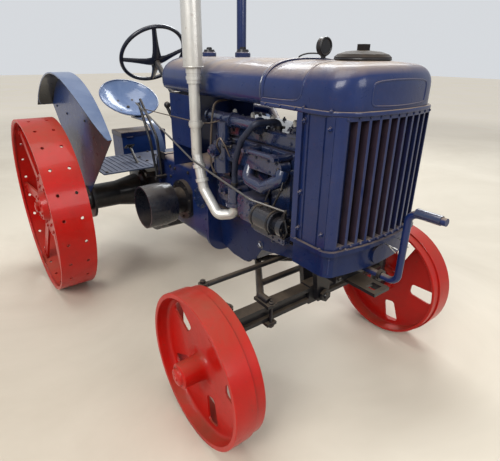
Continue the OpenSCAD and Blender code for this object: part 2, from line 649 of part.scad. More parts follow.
module rear_wheel() color(wheel_red) wheel_right(0, rear_r) {
    y0 = rear_track / 2;
    h = rear_rim_w / 2;
    difference() {
        rotate_extrude($fn = 96) {
            polygon([[rear_r - rim_t, y0 - h], [rear_r, y0 - h], [rear_r, y0 + h],
                [rear_r - rim_t, y0 + h]]);
            for (s = [-1, 1]) translate([rear_r - bead_d / 2, y0 + s * (h - bead_d / 2)])
                circle(d = bead_d, $fn = 24);
        }
        for (i = [0:lug_holes - 1]) for (s = [-1, 1]) rotate([0, 0, (i + 0.5) * 360 / lug_holes])
            translate([rear_r - rim_t - 5, 0, y0 + s * rear_rim_w * 0.24]) rotate([0, 90, 0])
                cylinder(d = lug_hole_d, h = rim_t + 10);
    }
    rotate_extrude() polygon([[0, axle_tube_y - 90], [axle_shaft_d / 2, axle_tube_y - 90],
        [axle_shaft_d / 2, axle_tube_y + 6], [92, axle_tube_y + 6], [92, y0 - 50],
        [hub_plate_d / 2, y0 - 46], [hub_plate_d / 2, y0 - 30], [104, y0 - 26], [104, y0 + 16],
        [hub_plate_d / 2, y0 + 20], [hub_plate_d / 2, y0 + 36], [98, y0 + 40], [82, y0 + 72],
        [44, y0 + 80], [0, y0 + 80]]);
    for (i = [0:spokes - 1]) rotate([0, 0, i * 360 / spokes]) {
        z0 = i % 2 == 0 ? y0 + 20 : y0 - 46;
        z1 = i % 2 == 0 ? y0 + 50 : y0 - 66;
        rotate([90, 0, 0]) translate([0, 0, -spoke_w / 2]) linear_extrude(spoke_w)
            polygon([[120, z0], [rear_r - rim_t + 2, z1], [rear_r - rim_t + 2, z1 + 14], [120, z0 + 14]]);
    }
}
module rear_wheel_right() rear_wheel();
module rear_wheel_left() mirror([0, 1, 0]) rear_wheel();

module front_wheel() color(wheel_red) wheel_right(wheelbase, front_r) {
    y0 = front_track / 2;
    h = front_rim_w / 2;
    r = front_r;
    difference() {
        rotate_extrude($fn = 96) polygon([[r - rim_t - band_t, y0 - h], [r - band_t, y0 - h],
            [r - band_t, y0 - h / 3], [r, y0 - h / 3], [r, y0 + h], [r - rim_t - band_t, y0 + h],
            [r - rim_t - band_t, y0 + 2], [250, y0 + 22], [130, y0 + 34], [84, y0 + 46],
            [62, y0 + h + 10], [50, y0 + h + 34], [30, y0 + h + 40], [0, y0 + h + 40], [0, y0 + h + 20],
            [stub_d / 2 + run_fit, y0 + h + 20], [stub_d / 2 + run_fit, y0 - 60], [60, y0 - 60],
            [72, y0 + 22], [130, y0 + 20], [250, y0 + 8], [r - rim_t - band_t, y0 - 14]]);
        for (i = [0:windows - 1]) rotate([0, 0, 90 + i * 360 / windows])
            translate([205, 0, y0 - 30]) linear_extrude(90) polygon(rounded(-62, -48, 70, 48, 40, 6));
    }
}
module front_wheel_right() front_wheel();
module front_wheel_left() mirror([0, 1, 0]) front_wheel();

module knuckle() color(axle_black) {
    y0 = -king_y;
    z_rod(wheelbase, y0, front_r - 30, arm_z, king_d);
    z_rod(wheelbase, y0, front_r - 34, beam_z - 62 - seat_gap, 66);
    y_rod(wheelbase, -front_track / 2 + 66, y0, front_r, 62);
    y_rod(wheelbase, -front_track / 2 - front_rim_w / 2 - 15, -front_track / 2 + 66, front_r, stub_d);
    z_rod(wheelbase, y0, beam_z + 50 + seat_gap, arm_z + 10, 56);
    box(wheelbase - arm_len, wheelbase, y0 - 16, y0 + 16, arm_z - 8, arm_z + 8);
    z_rod(wheelbase - arm_len, y0, arm_z - 8, arm_z + 8, 36);
    z_rod(wheelbase - arm_len, y0, arm_z + 7, arm_z + 36, link_pin_d);
}
module knuckle_right() knuckle();
module knuckle_left() color(axle_black) {
    mirror([0, 1, 0]) knuckle();
    z_rod(wheelbase, king_y, arm_z + 9, drag_arm_z + 8, 50);
    box(wheelbase - 16, wheelbase + 16, king_y - arm_len, king_y, drag_arm_z - 8, drag_arm_z + 8);
    z_rod(wheelbase, king_y - arm_len, drag_arm_z - 8, drag_arm_z + 8, link_eye_d);
}
module tie_rod() color(axle_black) difference() {
    x = wheelbase - arm_len;
    union() {
        rod([x, -king_y + 10, tie_z], [x, king_y - 10, tie_z], tie_d);
        for (s = [-1, 1]) z_rod(x, s * king_y, arm_z + 8 + seat_gap, arm_z + 33, link_eye_d);
    }
    for (s = [-1, 1]) z_rod(x, s * king_y, arm_z, arm_z + 60, link_pin_d + 2 * run_fit);
}
module drop_arm() color(axle_black) {
    y_rod(drop_x, 110, drop_y, drop_z, 40);
    y_rod(drop_x, gear_w / 2 + 5, drop_y, drop_z, 60);
    box(drop_x - 17, drop_x + 17, drop_y - 16, drop_y, drop_z - drop_len, drop_z);
    y_rod(drop_x, drop_y - 16, drop_y, drop_z - drop_len, 40);
    y_rod(drop_x, drop_y - 1, drag_y + 18, drop_z - drop_len, link_pin_d);
}
module drag_link() color(axle_black) {
    a = [drop_x, drag_y, drop_z - drop_len];
    b = [wheelbase, king_y - arm_len, drag_z];
    difference() {
        union() {
            rod(a + [14, 0, 0], b - [14, 0, 0], tie_d);
            translate(a) rotate([90, 0, 0]) cylinder(d = link_eye_d, h = 26, center = true);
            z_rod(b.x, b.y, drag_arm_z + 8 + seat_gap, b.z + 16, link_eye_d);
            z_rod(b.x, b.y, b.z + 15, b.z + 22, link_eye_d - 14);
        }
        translate(a) rotate([90, 0, 0]) cylinder(d = link_pin_d + 2 * run_fit, h = 60, center = true);
    }
}

module fan() color(axle_black) translate([front_face_x - 4, 0, fan_z]) rotate([0, 90, 0]) {
    translate([0, 0, -44]) cylinder(d = fan_shaft_d, h = 50);
    cylinder(d = 84, h = 34);
    for (i = [0:3]) rotate([0, 0, i * 90]) translate([30, -34, 8]) rotate([15, 0, 0]) cube([150, 68, 4]);
}

module placed() translate([-mid_x, 0, 0]) children();
placed() oil_pan();
placed() engine_block();
placed() cylinder_head();
placed() manifold();
placed() exhaust();
placed() air_cleaner();
placed() breather_pipe();
placed() governor_housing();
placed() magneto();
placed() gearbox();
placed() rear_axle_case();
placed() pulley_housing();
placed() front_support();
placed() front_axle();
placed() radius_rod();
placed() radiator_core();
placed() radiator_guard();
placed() radiator_side(false);  // radiator_side_right
placed() radiator_side(true);  // radiator_side_left
placed() bottom_tank();
placed() top_tank();
placed() radiator_cap();
placed() temperature_gauge();
placed() fuel_tank();
placed() dash_panel();
placed() steering_column();
placed() seat_pan();
placed() seat_spring();
placed() fender(false);  // fender_right
placed() fender(true);  // fender_left
placed() foot_plate();
placed() toolbox();
placed() gear_lever();
placed() hand_levers();
placed() control_rods();
placed() drawbar();
placed() tow_plate();
placed() starting_crank();
placed() rear_wheel_right();
placed() rear_wheel_left();
placed() front_wheel_right();
placed() front_wheel_left();
placed() knuckle_right();
placed() knuckle_left();
placed() tie_rod();
placed() drop_arm();
placed() drag_link();
placed() steering_wheel();
placed() belt_pulley();
placed() fan();
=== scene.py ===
# The tractor: paint for every piece, finer hood, tank and front wheels, small fittings, and the stage.
import json
import math
import bmesh
import bpy
from mathutils import Matrix, Vector
from mathutils.bvhtree import BVHTree


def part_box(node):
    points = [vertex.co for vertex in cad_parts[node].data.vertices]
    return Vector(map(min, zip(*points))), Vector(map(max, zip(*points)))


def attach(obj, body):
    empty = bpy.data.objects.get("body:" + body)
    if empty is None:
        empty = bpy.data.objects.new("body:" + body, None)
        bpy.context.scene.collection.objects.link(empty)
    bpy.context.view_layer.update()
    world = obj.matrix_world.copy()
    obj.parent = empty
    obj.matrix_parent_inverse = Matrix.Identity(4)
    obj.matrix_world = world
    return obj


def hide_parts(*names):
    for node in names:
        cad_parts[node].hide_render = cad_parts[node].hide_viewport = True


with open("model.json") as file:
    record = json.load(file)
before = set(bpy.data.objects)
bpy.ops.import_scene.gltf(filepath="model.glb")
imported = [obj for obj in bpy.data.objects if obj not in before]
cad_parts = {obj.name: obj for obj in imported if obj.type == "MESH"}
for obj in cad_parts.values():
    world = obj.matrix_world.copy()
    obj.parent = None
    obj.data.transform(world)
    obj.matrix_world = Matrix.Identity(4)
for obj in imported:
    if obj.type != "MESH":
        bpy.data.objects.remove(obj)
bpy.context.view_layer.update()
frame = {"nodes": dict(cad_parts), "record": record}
NODES = frame["nodes"]
low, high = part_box("rear_wheel_right")
MX = -500 * (low.x + high.x)
# Places in the part's own millimetres: axles, kingpins, pulley, magneto, exhaust, spark plugs and radiator
REAR_Z = 533.5
FRONT_X, FRONT_Z = 1600, 310
KING_Y = 486
PULLEY_X, PULLEY_Z = 668, 642
MAGNETO_Y, MAGNETO_Z = -219, 808
EXHAUST_X, EXHAUST_Y = 1068, -284
PLUGS_X, PLUGS_Y = (1090, 1228, 1366, 1504), -84
BOW_X, BOW_R = 1008, 900
BARS_X = 1856


def P(x, y, z):
    """A place in the part's own millimetres, X from the rear axle, as metres in the row frame."""
    return Vector(((x - MX) / 1000, y / 1000, z / 1000))


def turned(degrees):
    """Cosine and sine of an angle."""
    return math.cos(math.radians(degrees)), math.sin(math.radians(degrees))


def around(count, r, start=0.0):
    """Places evenly round a circle, as two coordinates from its middle."""
    return [(r * math.cos(t), r * math.sin(t)) for t in (math.radians(start + 360 * k / count) for k in range(count))]


# Materials: every one is a Principled surface driven by noise, with dust where it faces up,
# painted shade with grime in the corners, and wear with a painted highlight on the edges.
def node(nt, kind, **values):
    n = nt.nodes.new(kind)
    for key, value in values.items():
        setattr(n, key, value)
    return n


def noise(nt, coord, scale, detail=5.0, rough=0.6, distortion=0.0):
    n = node(nt, "ShaderNodeTexNoise")
    n.inputs["Scale"].default_value = scale
    n.inputs["Detail"].default_value = detail
    n.inputs["Roughness"].default_value = rough
    n.inputs["Distortion"].default_value = distortion
    nt.links.new(coord, n.inputs["Vector"])
    return n.outputs["Fac"]


def ramp(nt, value, stops):
    """A value turned into a grey or colour between stops."""
    n = node(nt, "ShaderNodeValToRGB")
    el = n.color_ramp.elements
    while len(el) < len(stops):
        el.new(0.5)
    for e, (pos, grey) in zip(el, stops):
        e.position = pos
        e.color = (grey, grey, grey, 1) if isinstance(grey, (int, float)) else (*grey, 1)
    nt.links.new(value, n.inputs["Fac"])
    return n.outputs["Color"]


def mix(nt, fac, a, b):
    n = node(nt, "ShaderNodeMix", data_type="RGBA")
    for sock, v in ((n.inputs[0], fac), (n.inputs[6], a), (n.inputs[7], b)):
        if isinstance(v, (int, float)):
            sock.default_value = v
        elif isinstance(v, tuple):
            sock.default_value = (*v, 1)
        else:
            nt.links.new(v, sock)
    return n.outputs[2]


def maths(nt, op, a, b=None, clamp=False):
    n = node(nt, "ShaderNodeMath", operation=op, use_clamp=clamp)
    for i, v in enumerate((a, b)):
        if v is None:
            continue
        if isinstance(v, (int, float)):
            n.inputs[i].default_value = v
        else:
            nt.links.new(v, n.inputs[i])
    return n.outputs[0]


def vector(nt, op, a, b=None):
    n = node(nt, "ShaderNodeVectorMath", operation=op)
    for i, v in enumerate((a, b)):
        if v is None:
            continue
        if isinstance(v, tuple):
            n.inputs[i].default_value = v
        else:
            nt.links.new(v, n.inputs[i])
    return n.outputs["Value" if op in ("DOT_PRODUCT", "LENGTH") else "Vector"]


def paint(name, base, worn, dust=(0.33, 0.25, 0.17), dust_up=0.6, film=0.05, rust=0.12, edge=0.35,
          wear_and_highlight_colour=(0.06, 0.075, 0.13), rough=0.3, metallic=0.0, coat=0.0, bump=0.2, scale=6.0,
          corner_shade_and_grime=0.6, shade_and_grime_colour=(0.010, 0.009, 0.010), streaks=0.0, spec=0.26, dents=0.4, special=None):
    """A painted or bare surface: base and worn colours, dust above, painted shade and grime in corners, worn edges
    with painted highlight, rust and dents.
    """
    m = bpy.data.materials.new(name)
    m.use_nodes = True
    nt = m.node_tree
    nt.nodes.clear()
    out = node(nt, "ShaderNodeOutputMaterial")
    bsdf = node(nt, "ShaderNodeBsdfPrincipled")
    nt.links.new(bsdf.outputs[0], out.inputs[0])
    coord = node(nt, "ShaderNodeTexCoord").outputs["Object"]
    geo = node(nt, "ShaderNodeNewGeometry")
    normal = geo.outputs["Normal"]
    up = node(nt, "ShaderNodeSeparateXYZ")
    nt.links.new(normal, up.inputs[0])
    big = noise(nt, coord, scale, 6.0, 0.65, 0.6)
    mid = noise(nt, coord, scale * 4.3, 5.0, 0.7, 0.3)
    fine = noise(nt, coord, scale * 14, 4.0, 0.6)
    grain = noise(nt, coord, scale * 60, 2.0, 0.5)
    colour = mix(nt, ramp(nt, big, [(0.40, 0.0), (0.70, 0.8)]), base, worn)
    if special:
        colour = special(nt, coord, geo, colour)
    # worn edges with a painted highlight, from how far a rounded normal leans from the true one
    bevel = node(nt, "ShaderNodeBevel", samples=4)
    bevel.inputs["Radius"].default_value = 0.003
    lean = maths(nt, "SUBTRACT", 1.0, vector(nt, "DOT_PRODUCT", bevel.outputs[0], normal))
    wear_and_highlight = maths(nt, "MULTIPLY", ramp(nt, lean, [(0.02, 0.0), (0.12, 1.0)]),
                 ramp(nt, mid, [(0.42, 0.0), (0.60, 1.0)]))
    colour = mix(nt, maths(nt, "MULTIPLY", wear_and_highlight, edge), colour, wear_and_highlight_colour)
    # rust spots, and painted shade with dark grime in the corners
    spots = ramp(nt, maths(nt, "MULTIPLY", mid, fine), [(0.33, 0.0), (0.40, 1.0)])
    colour = mix(nt, maths(nt, "MULTIPLY", spots, rust), colour, (0.10, 0.035, 0.016))
    near = node(nt, "ShaderNodeAmbientOcclusion", samples=4)
    near.inputs["Distance"].default_value = 0.05
    shaded_grimy_corners = maths(nt, "MULTIPLY", ramp(nt, near.outputs["AO"], [(0.30, 1.0), (0.85, 0.0)]), corner_shade_and_grime)
    shaded_grimy_corners = maths(nt, "MULTIPLY", shaded_grimy_corners, ramp(nt, mid, [(0.30, 0.3), (0.6, 1.0)]))
    colour = mix(nt, shaded_grimy_corners, colour, shade_and_grime_colour)
    # dust on what faces up, and a patchy film
    facing = maths(nt, "MULTIPLY", ramp(nt, up.outputs[2], [(0.45, 0.0), (0.98, 1.0)]), dust_up)
    facing = maths(nt, "MULTIPLY", facing, ramp(nt, big, [(0.30, 0.35), (0.60, 1.0)]))
    thin = maths(nt, "MULTIPLY", ramp(nt, mid, [(0.42, 0.0), (0.78, 1.0)]), film)
    if streaks:
        stretch = node(nt, "ShaderNodeMapping")
        stretch.inputs["Scale"].default_value = (1.0, 1.0, 0.06)
        nt.links.new(coord, stretch.inputs["Vector"])
        lines = noise(nt, stretch.outputs[0], 30.0, 3.0, 0.6)
        lines = maths(nt, "MULTIPLY", ramp(nt, lines, [(0.52, 0.0), (0.75, 1.0)]), streaks)
        thin = maths(nt, "ADD", thin, lines)
    dusty = maths(nt, "ADD", facing, thin, True)
    colour = mix(nt, dusty, colour, dust)
    nt.links.new(colour, bsdf.inputs["Base Color"])
    dull = maths(nt, "ADD", maths(nt, "MULTIPLY", mid, 0.20), rough - 0.1)
    dull = maths(nt, "ADD", dull, maths(nt, "MULTIPLY", shaded_grimy_corners, 0.3))
    nt.links.new(maths(nt, "ADD", dull, maths(nt, "MULTIPLY", dusty, 0.5), True), bsdf.inputs["Roughness"])
    bsdf.inputs["Metallic"].default_value = metallic
    bsdf.inputs["Specular IOR Level"].default_value = spec
    if coat:
        clean = maths(nt, "SUBTRACT", 1.0, dusty, True)
        nt.links.new(maths(nt, "MULTIPLY", clean, coat), bsdf.inputs["Coat Weight"])
        bsdf.inputs["Coat Roughness"].default_value = 0.10
    waves = node(nt, "ShaderNodeBump")
    waves.inputs["Strength"].default_value = dents
    waves.inputs["Distance"].default_value = 0.004
    nt.links.new(big, waves.inputs["Height"])
    pits = node(nt, "ShaderNodeBump")
    pits.inputs["Strength"].default_value = bump
    pits.inputs["Distance"].default_value = 0.0012
    height = maths(nt, "ADD", maths(nt, "MULTIPLY", fine, 0.6), maths(nt, "MULTIPLY", grain, 0.4))
    nt.links.new(height, pits.inputs["Height"])
    nt.links.new(waves.outputs[0], pits.inputs["Normal"])
    nt.links.new(pits.outputs[0], bsdf.inputs["Normal"])
    return m


def fender_plates_and_shade(nt, coord, geo, colour):
    """Blue side plates with painted shade that darkens them forwards, and painted shade that makes the underside
    nearly black; only the outside of the tread is pale.
    """
    from_axle = vector(nt, "SUBTRACT", coord, tuple(P(0, 0, REAR_Z)))
    flat = vector(nt, "MULTIPLY", from_axle, (1.0, 0.0, 1.0))
    outward = vector(nt, "DOT_PRODUCT", vector(nt, "NORMALIZE", flat), geo.outputs["Normal"])
    place = node(nt, "ShaderNodeSeparateXYZ")
    nt.links.new(from_axle, place.inputs[0])
    # painted shade: the side plates go from lit blue to nearly black towards the front
    ahead = ramp(nt, place.outputs[0], [(0.16, 0.0), (0.30, 1.0)])
    side = mix(nt, ahead, (0.008, 0.036, 0.16), (0.003, 0.003, 0.010))
    colour = mix(nt, ramp(nt, outward, [(0.40, 1.0), (0.60, 0.0)]), colour, side)
    # painted shade: nearly black where the surface faces in towards the axle
    underside_shade = ramp(nt, maths(nt, "MULTIPLY", outward, -1.0), [(0.40, 0.0), (0.60, 1.0)])
    return mix(nt, underside_shade, colour, (0.003, 0.003, 0.005))


def bar_sides(nt, coord, geo, colour):
    """Brown dirt on the sides of the radiator bars."""
    side = node(nt, "ShaderNodeSeparateXYZ")
    nt.links.new(geo.outputs["Normal"], side.inputs[0])
    mask = ramp(nt, maths(nt, "MULTIPLY", side.outputs[1], -1.0), [(0.9, 0.0), (0.97, 1.0)])
    ahead = node(nt, "ShaderNodeSeparateXYZ")
    nt.links.new(coord, ahead.inputs[0])
    front = ramp(nt, maths(nt, "SUBTRACT", ahead.outputs[0], (BARS_X - MX) / 1000), [(0.0, 0.0), (0.004, 1.0)])
    nearest = ramp(nt, ahead.outputs[1], [(-0.15, 0.75), (0.10, 0.12)])
    brown = mix(nt, noise(nt, coord, 25.0), (0.020, 0.012, 0.014), (0.075, 0.042, 0.036))
    return mix(nt, maths(nt, "MULTIPLY", maths(nt, "MULTIPLY", mask, front), nearest), colour, brown)


# One paint for each material slot of the record, then the pieces that have their own
NAVY, NAVY_WORN = (0.0042, 0.0145, 0.078), (0.007, 0.022, 0.105)
MATS = {
    "body_blue": paint("dark_blue_paint", NAVY, NAVY_WORN, coat=0.3, film=0.012, streaks=0.01, dust_up=0.8),
    "axle_black": paint("black_paint", (0.0055, 0.006, 0.009), (0.012, 0.012, 0.015), dust_up=0.3, film=0.03,
                        rough=0.38, coat=0.2, wear_and_highlight_colour=(0.05, 0.05, 0.055), rust=0.2),
    "wheel_red": paint("red_wheel_paint", (0.46, 0.0055, 0.003), (0.34, 0.008, 0.005), dust=(0.24, 0.12, 0.07),
                       dust_up=0.4, film=0.035, rough=0.36, coat=0.2, wear_and_highlight_colour=(0.38, 0.07, 0.05), edge=0.35,
                       rust=0.25, shade_and_grime_colour=(0.07, 0.003, 0.002), corner_shade_and_grime=0.7, spec=0.2),
    "pale_blue": paint("pale_blue_paint", (0.062, 0.098, 0.20), (0.10, 0.15, 0.27), dust_up=0.12, film=0.03,
                       rough=0.26, coat=0.6),
    "steel_grey": paint("worn_iron", (0.030, 0.033, 0.040), (0.075, 0.075, 0.078), metallic=0.5, rust=0.3,
                        film=0.08, rough=0.38, dust_up=0.35, wear_and_highlight_colour=(0.2, 0.2, 0.2)),
    "silver": paint("silver_heat_paint", (0.60, 0.60, 0.58), (0.48, 0.46, 0.43), metallic=0.55, rust=0.25,
                    dust_up=0.1, film=0.05, rough=0.36, streaks=0.15, dust=(0.20, 0.14, 0.09),
                    wear_and_highlight_colour=(0.6, 0.6, 0.58), shade_and_grime_colour=(0.08, 0.05, 0.03)),
}
BLUE, BLACK, IRON = MATS["body_blue"], MATS["axle_black"], MATS["steel_grey"]
RED, PALE = MATS["wheel_red"], MATS["pale_blue"]
ENGINE = paint("engine_paint", (0.0045, 0.0135, 0.058), (0.012, 0.028, 0.085), coat=0.85, dust_up=0.16, film=0.03,
               rough=0.24, spec=0.4, rust=0.18)
SUMP = paint("sump_paint", (0.0035, 0.012, 0.06), (0.006, 0.018, 0.08), coat=0.12, dust_up=0.5, film=0.01, spec=0.15)
FENDER = paint("fender_paint", (0.075, 0.115, 0.215), (0.12, 0.17, 0.28), dust_up=0.08, film=0.01, rough=0.3,
               coat=0.22, corner_shade_and_grime=0.2, spec=0.22, special=fender_plates_and_shade)
OWN = {
    "radiator_guard": paint("guard_paint", NAVY, NAVY_WORN, coat=0.35, film=0.01, special=bar_sides),
    "radiator_core": paint("core_dirt", (0.008, 0.007, 0.014), (0.022, 0.014, 0.018), film=0.12, rough=0.8,
                           dust=(0.08, 0.05, 0.035)),
    "belt_pulley": paint("pulley_iron", (0.007, 0.008, 0.015), (0.016, 0.019, 0.026), rough=0.28, coat=0.35,
                         film=0.02, dust_up=0.15),
    "magneto": paint("magneto_grey", (0.010, 0.013, 0.024), (0.030, 0.034, 0.048), metallic=0.4, rough=0.22,
                     coat=0.7, film=0.02, dust_up=0.12),
    "breather_pipe": paint("pipe_grey_blue", (0.014, 0.020, 0.042), (0.025, 0.033, 0.06), rough=0.42, film=0.03,
                           dust_up=0.15),
    "foot_plate": paint("plate_iron", (0.055, 0.075, 0.13), (0.13, 0.16, 0.24), metallic=0.3, rough=0.4, film=0.1,
                        dust_up=0.15),
    "steering_wheel": paint("wheel_rim_black", (0.006, 0.009, 0.020), (0.012, 0.016, 0.032), rough=0.3, coat=0.4,
                            dust_up=0.15, film=0.02),
    "control_rods": paint("rod_steel", (0.10, 0.10, 0.10), (0.16, 0.15, 0.14), metallic=0.6, rough=0.35, film=0.05,
                          dust_up=0.1),
    "radiator_cap": paint("cap_black", (0.012, 0.010, 0.010), (0.022, 0.017, 0.014), rough=0.62, dust_up=0.12,
                          film=0.03, spec=0.15),
    "toolbox": paint("toolbox_paint", (0.009, 0.042, 0.20), (0.016, 0.06, 0.25), coat=0.2, dust_up=0.3, film=0.01,
                     corner_shade_and_grime=0.2, spec=0.2),
    "seat_pan": paint("seat_paint", (0.105, 0.165, 0.31), (0.17, 0.24, 0.40), dust_up=0.08, film=0.02, rough=0.24,
                      coat=0.6, corner_shade_and_grime=0.25),
    "starting_crank": BLUE, "oil_pan": SUMP, "bottom_tank": SUMP, "fender_right": FENDER, "fender_left": FENDER,
    "engine_block": ENGINE, "cylinder_head": ENGINE, "manifold": ENGINE, "governor_housing": ENGINE,
}
BRIGHT = paint("bare_steel", (0.42, 0.42, 0.41), (0.26, 0.25, 0.23), metallic=0.9, rough=0.32, rust=0.25,
               dust_up=0.15, film=0.05)
CERAMIC = paint("white_ceramic", (0.80, 0.79, 0.75), (0.62, 0.60, 0.55), rough=0.25, coat=0.5, rust=0.0,
                dust_up=0.1, film=0.05, edge=0.0)
COPPER = paint("dull_copper", (0.10, 0.085, 0.075), (0.16, 0.11, 0.08), metallic=0.7, rough=0.4, rust=0.1, film=0.1)
for sub in frame["record"]["subparts"]:
    ob = NODES[sub["node"]]
    for held in ob.material_slots:
        held.material = OWN.get(sub["node"], MATS[sub["material_slot"]])


def to_object(name, bm):
    """An object made from a mesh in millimetres."""
    bmesh.ops.recalc_face_normals(bm, faces=bm.faces)
    for v in bm.verts:
        v.co = P(*v.co)
    me = bpy.data.meshes.new(name)
    bm.to_mesh(me)
    bm.free()
    ob = bpy.data.objects.new(name, me)
    bpy.context.scene.collection.objects.link(ob)
    return ob


def dress(ob, material, body, sharp=35):
    """Paints and shades an object and rides it on its body."""
    ob.data.materials.clear()
    ob.data.materials.append(material)
    ob.data.shade_smooth()
    ob.data.set_sharp_from_angle(angle=math.radians(sharp))
    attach(ob, body)


def skin(bm, rows, closed=False):
    """Faces between neighbouring rows of vertices."""
    for a, b in zip(rows, rows[1:]):
        for k in range(len(a) if closed else len(a) - 1):
            j = (k + 1) % len(a)
            bm.faces.new((a[k], b[k], b[j], a[j]))


# Small forms are gathered in one mesh for each body and finish. Lengths are millimetres.
class Forms:
    def __init__(self, name, body, material, slot):
        self.name, self.body, self.material, self.slot = name, body, material, slot
        self.bm = bmesh.new()

    def cone(self, a, b, r, r2=None, seg=16):
        a, b = Vector(a), Vector(b)
        turn = (b - a).to_track_quat("Z", "Y").to_matrix().to_4x4()
        bmesh.ops.create_cone(self.bm, cap_ends=True, segments=seg, radius1=r, radius2=r if r2 is None else r2,
                              depth=(b - a).length, matrix=Matrix.Translation((a + b) / 2) @ turn)

    def ball(self, c, r, seg=14):
        c, rows = Vector(c), []
        for k in range(1, seg // 2):
            z, wide = turned(360 * k / seg)
            rows.append([self.bm.verts.new(c + Vector((u, v, r * z))) for u, v in around(seg, r * wide, 90)])
        skin(self.bm, rows, closed=True)
        for row, z in ((rows[0], r), (rows[-1], -r)):
            pole = self.bm.verts.new(c + Vector((0, 0, z)))
            for k in range(seg):
                self.bm.faces.new((pole, row[k], row[(k + 1) % seg]))

    def block(self, low, high, bevel=2.0, turn=None):
        """A box with rounded edges between two corners, which may turn about its middle."""
        low, high = Vector(low), Vector(high)
        place = Matrix.Translation((low + high) / 2) @ (turn.to_4x4() if turn else Matrix.Identity(4))
        box = bmesh.new()
        bmesh.ops.create_cube(box, size=1.0)
        for v in box.verts:
            v.co *= high - low
        bmesh.ops.bevel(box, geom=box.edges[:], offset=bevel, segments=2, affect="EDGES")
        box.transform(place)
        me = bpy.data.meshes.new("block")
        box.to_mesh(me)
        box.free()
        self.bm.from_mesh(me)
        bpy.data.meshes.remove(me)

    def bolt(self, at, axis, r=8.0, stud=False, square=False):
        """Washer, head or nut with its chamfer, and the end of a stud."""
        at, n = Vector(at), Vector(axis).normalized()
        sides = 4 if square else 6
        self.cone(at - n * 1.5, at + n * 1.6, r * 1.35, seg=14)
        self.cone(at + n * 1.5, at + n * r * 0.75, r, seg=sides)
        self.cone(at + n * r * 0.74, at + n * r * 0.95, r, r * 0.72, seg=sides)
        if stud:
            self.cone(at + n * r * 0.9, at + n * r * 1.6, r * 0.5, r * 0.42, seg=10)

    def ring(self, c, axis, radius, r, seg=48, sides=8):
        """A round bar bent to a circle about an axis."""
        n = Vector(axis).normalized()
        a = n.orthogonal().normalized()
        b = n.cross(a)
        self.tube([Vector(c) + (a * math.cos(t) + b * math.sin(t)) * radius
                   for t in (2 * math.pi * i / seg for i in range(seg))], r, sides, closed=True)

    def tube(self, points, r, sides=8, closed=False):
        """A round bar along a line of places, without twist."""
        pts = [Vector(p) for p in points]
        count = len(pts)
        rows = []
        side = None
        for i, p in enumerate(pts):
            if closed:
                t = (pts[(i + 1) % count] - pts[i - 1]).normalized()
            else:
                t = (pts[min(i + 1, count - 1)] - pts[max(i - 1, 0)]).normalized()
            side = t.orthogonal().normalized() if side is None else (side - t * side.dot(t)).normalized()
            other = t.cross(side)
            rows.append([self.bm.verts.new(p + (side * math.cos(a) + other * math.sin(a)) * r)
                         for a in (2 * math.pi * k / sides for k in range(sides))])
        for i in range(count if closed else count - 1):
            a, b = rows[i], rows[(i + 1) % count]
            shift = 0
            if closed and i == count - 1:
                gap = [sum((a[k].co - b[(k + j) % sides].co).length for k in range(sides)) for j in range(sides)]
                shift = gap.index(min(gap))
            for k in range(sides):
                self.bm.faces.new((a[k], a[(k + 1) % sides], b[(k + 1 + shift) % sides], b[(k + shift) % sides]))
        if not closed:
            self.bm.faces.new(list(reversed(rows[0])))
            self.bm.faces.new(rows[-1])

    def finish(self):
        dress(to_object(self.name, self.bm), self.material, self.body)


def curve(points, steps=8):
    """A smooth line through a few points."""
    p = [Vector(q) for q in points]
    p = [p[0] * 2 - p[1]] + p + [p[-1] * 2 - p[-2]]
    out = []
    for i in range(1, len(p) - 2):
        for k in range(steps):
            t = k / steps
            out.append(0.5 * (2 * p[i] + (p[i + 1] - p[i - 1]) * t
                              + (2 * p[i - 1] - 5 * p[i] + 4 * p[i + 1] - p[i + 2]) * t * t
                              + (3 * p[i] - p[i - 1] - 3 * p[i + 1] + p[i + 2]) * t ** 3))
    return out + [p[-2]]


TREES = {}


def tree_of(me):
    return BVHTree.FromPolygons([v.co.copy() for v in me.vertices], [tuple(f.vertices) for f in me.polygons])


def hit(name, origin, direction):
    """Where a line from a place in millimetres first meets a CAD piece: the place and the surface's normal."""
    if name not in TREES:
        TREES[name] = tree_of(NODES[name].data)
    at, n, _, _ = TREES[name].ray_cast(P(*origin), Vector(direction).normalized(), 3.0)
    if at is None:
        return None, None
    if n.dot(Vector(direction)) > 0:
        n = -n
    return Vector((at.x * 1000 + MX, at.y * 1000, at.z * 1000)), n


def on(forms, name, origin, direction, r=8.0, **more):
    """A bolt where a line meets a CAD piece, square to its surface."""
    at, n = hit(name, origin, direction)
    if at is not None:
        forms.bolt(at, n, r, **more)


def front_x(y, inset=0.0):
    """The bowed front of the radiator."""
    return BOW_X - inset + math.sqrt(BOW_R ** 2 - y * y)


def ring_about(forms, c, axis, r, width=10, proud=3, lug=0.0):
    """A clamp band with its bolt lug."""
    c, n = Vector(c), Vector(axis).normalized()
    forms.cone(c - n * width / 2, c + n * width / 2, r + proud, seg=28)
    if lug is not None:
        across = n.orthogonal().normalized()
        side = across * math.cos(lug) + n.cross(across) * math.sin(lug)
        across = n.cross(side)
        at = c + side * (r + proud + 4)
        forms.cone(at - across * 11, at + across * 11, 3.5, seg=8)
        for s in (-1, 1):
            forms.cone(at + across * s * 6 - n * 4.5, at + across * s * 6 + n * 4.5, 5, seg=6)


# The hood over the radiator: one smooth pressed shell with a raised front and a skirt that runs back
HOOD_TOP = 1412.0
SEAM_Z = 1262
SPINE_X = 1742
CROWN_R = 1300
SHOULDER, FRONT_SHOULDER = 86, 64


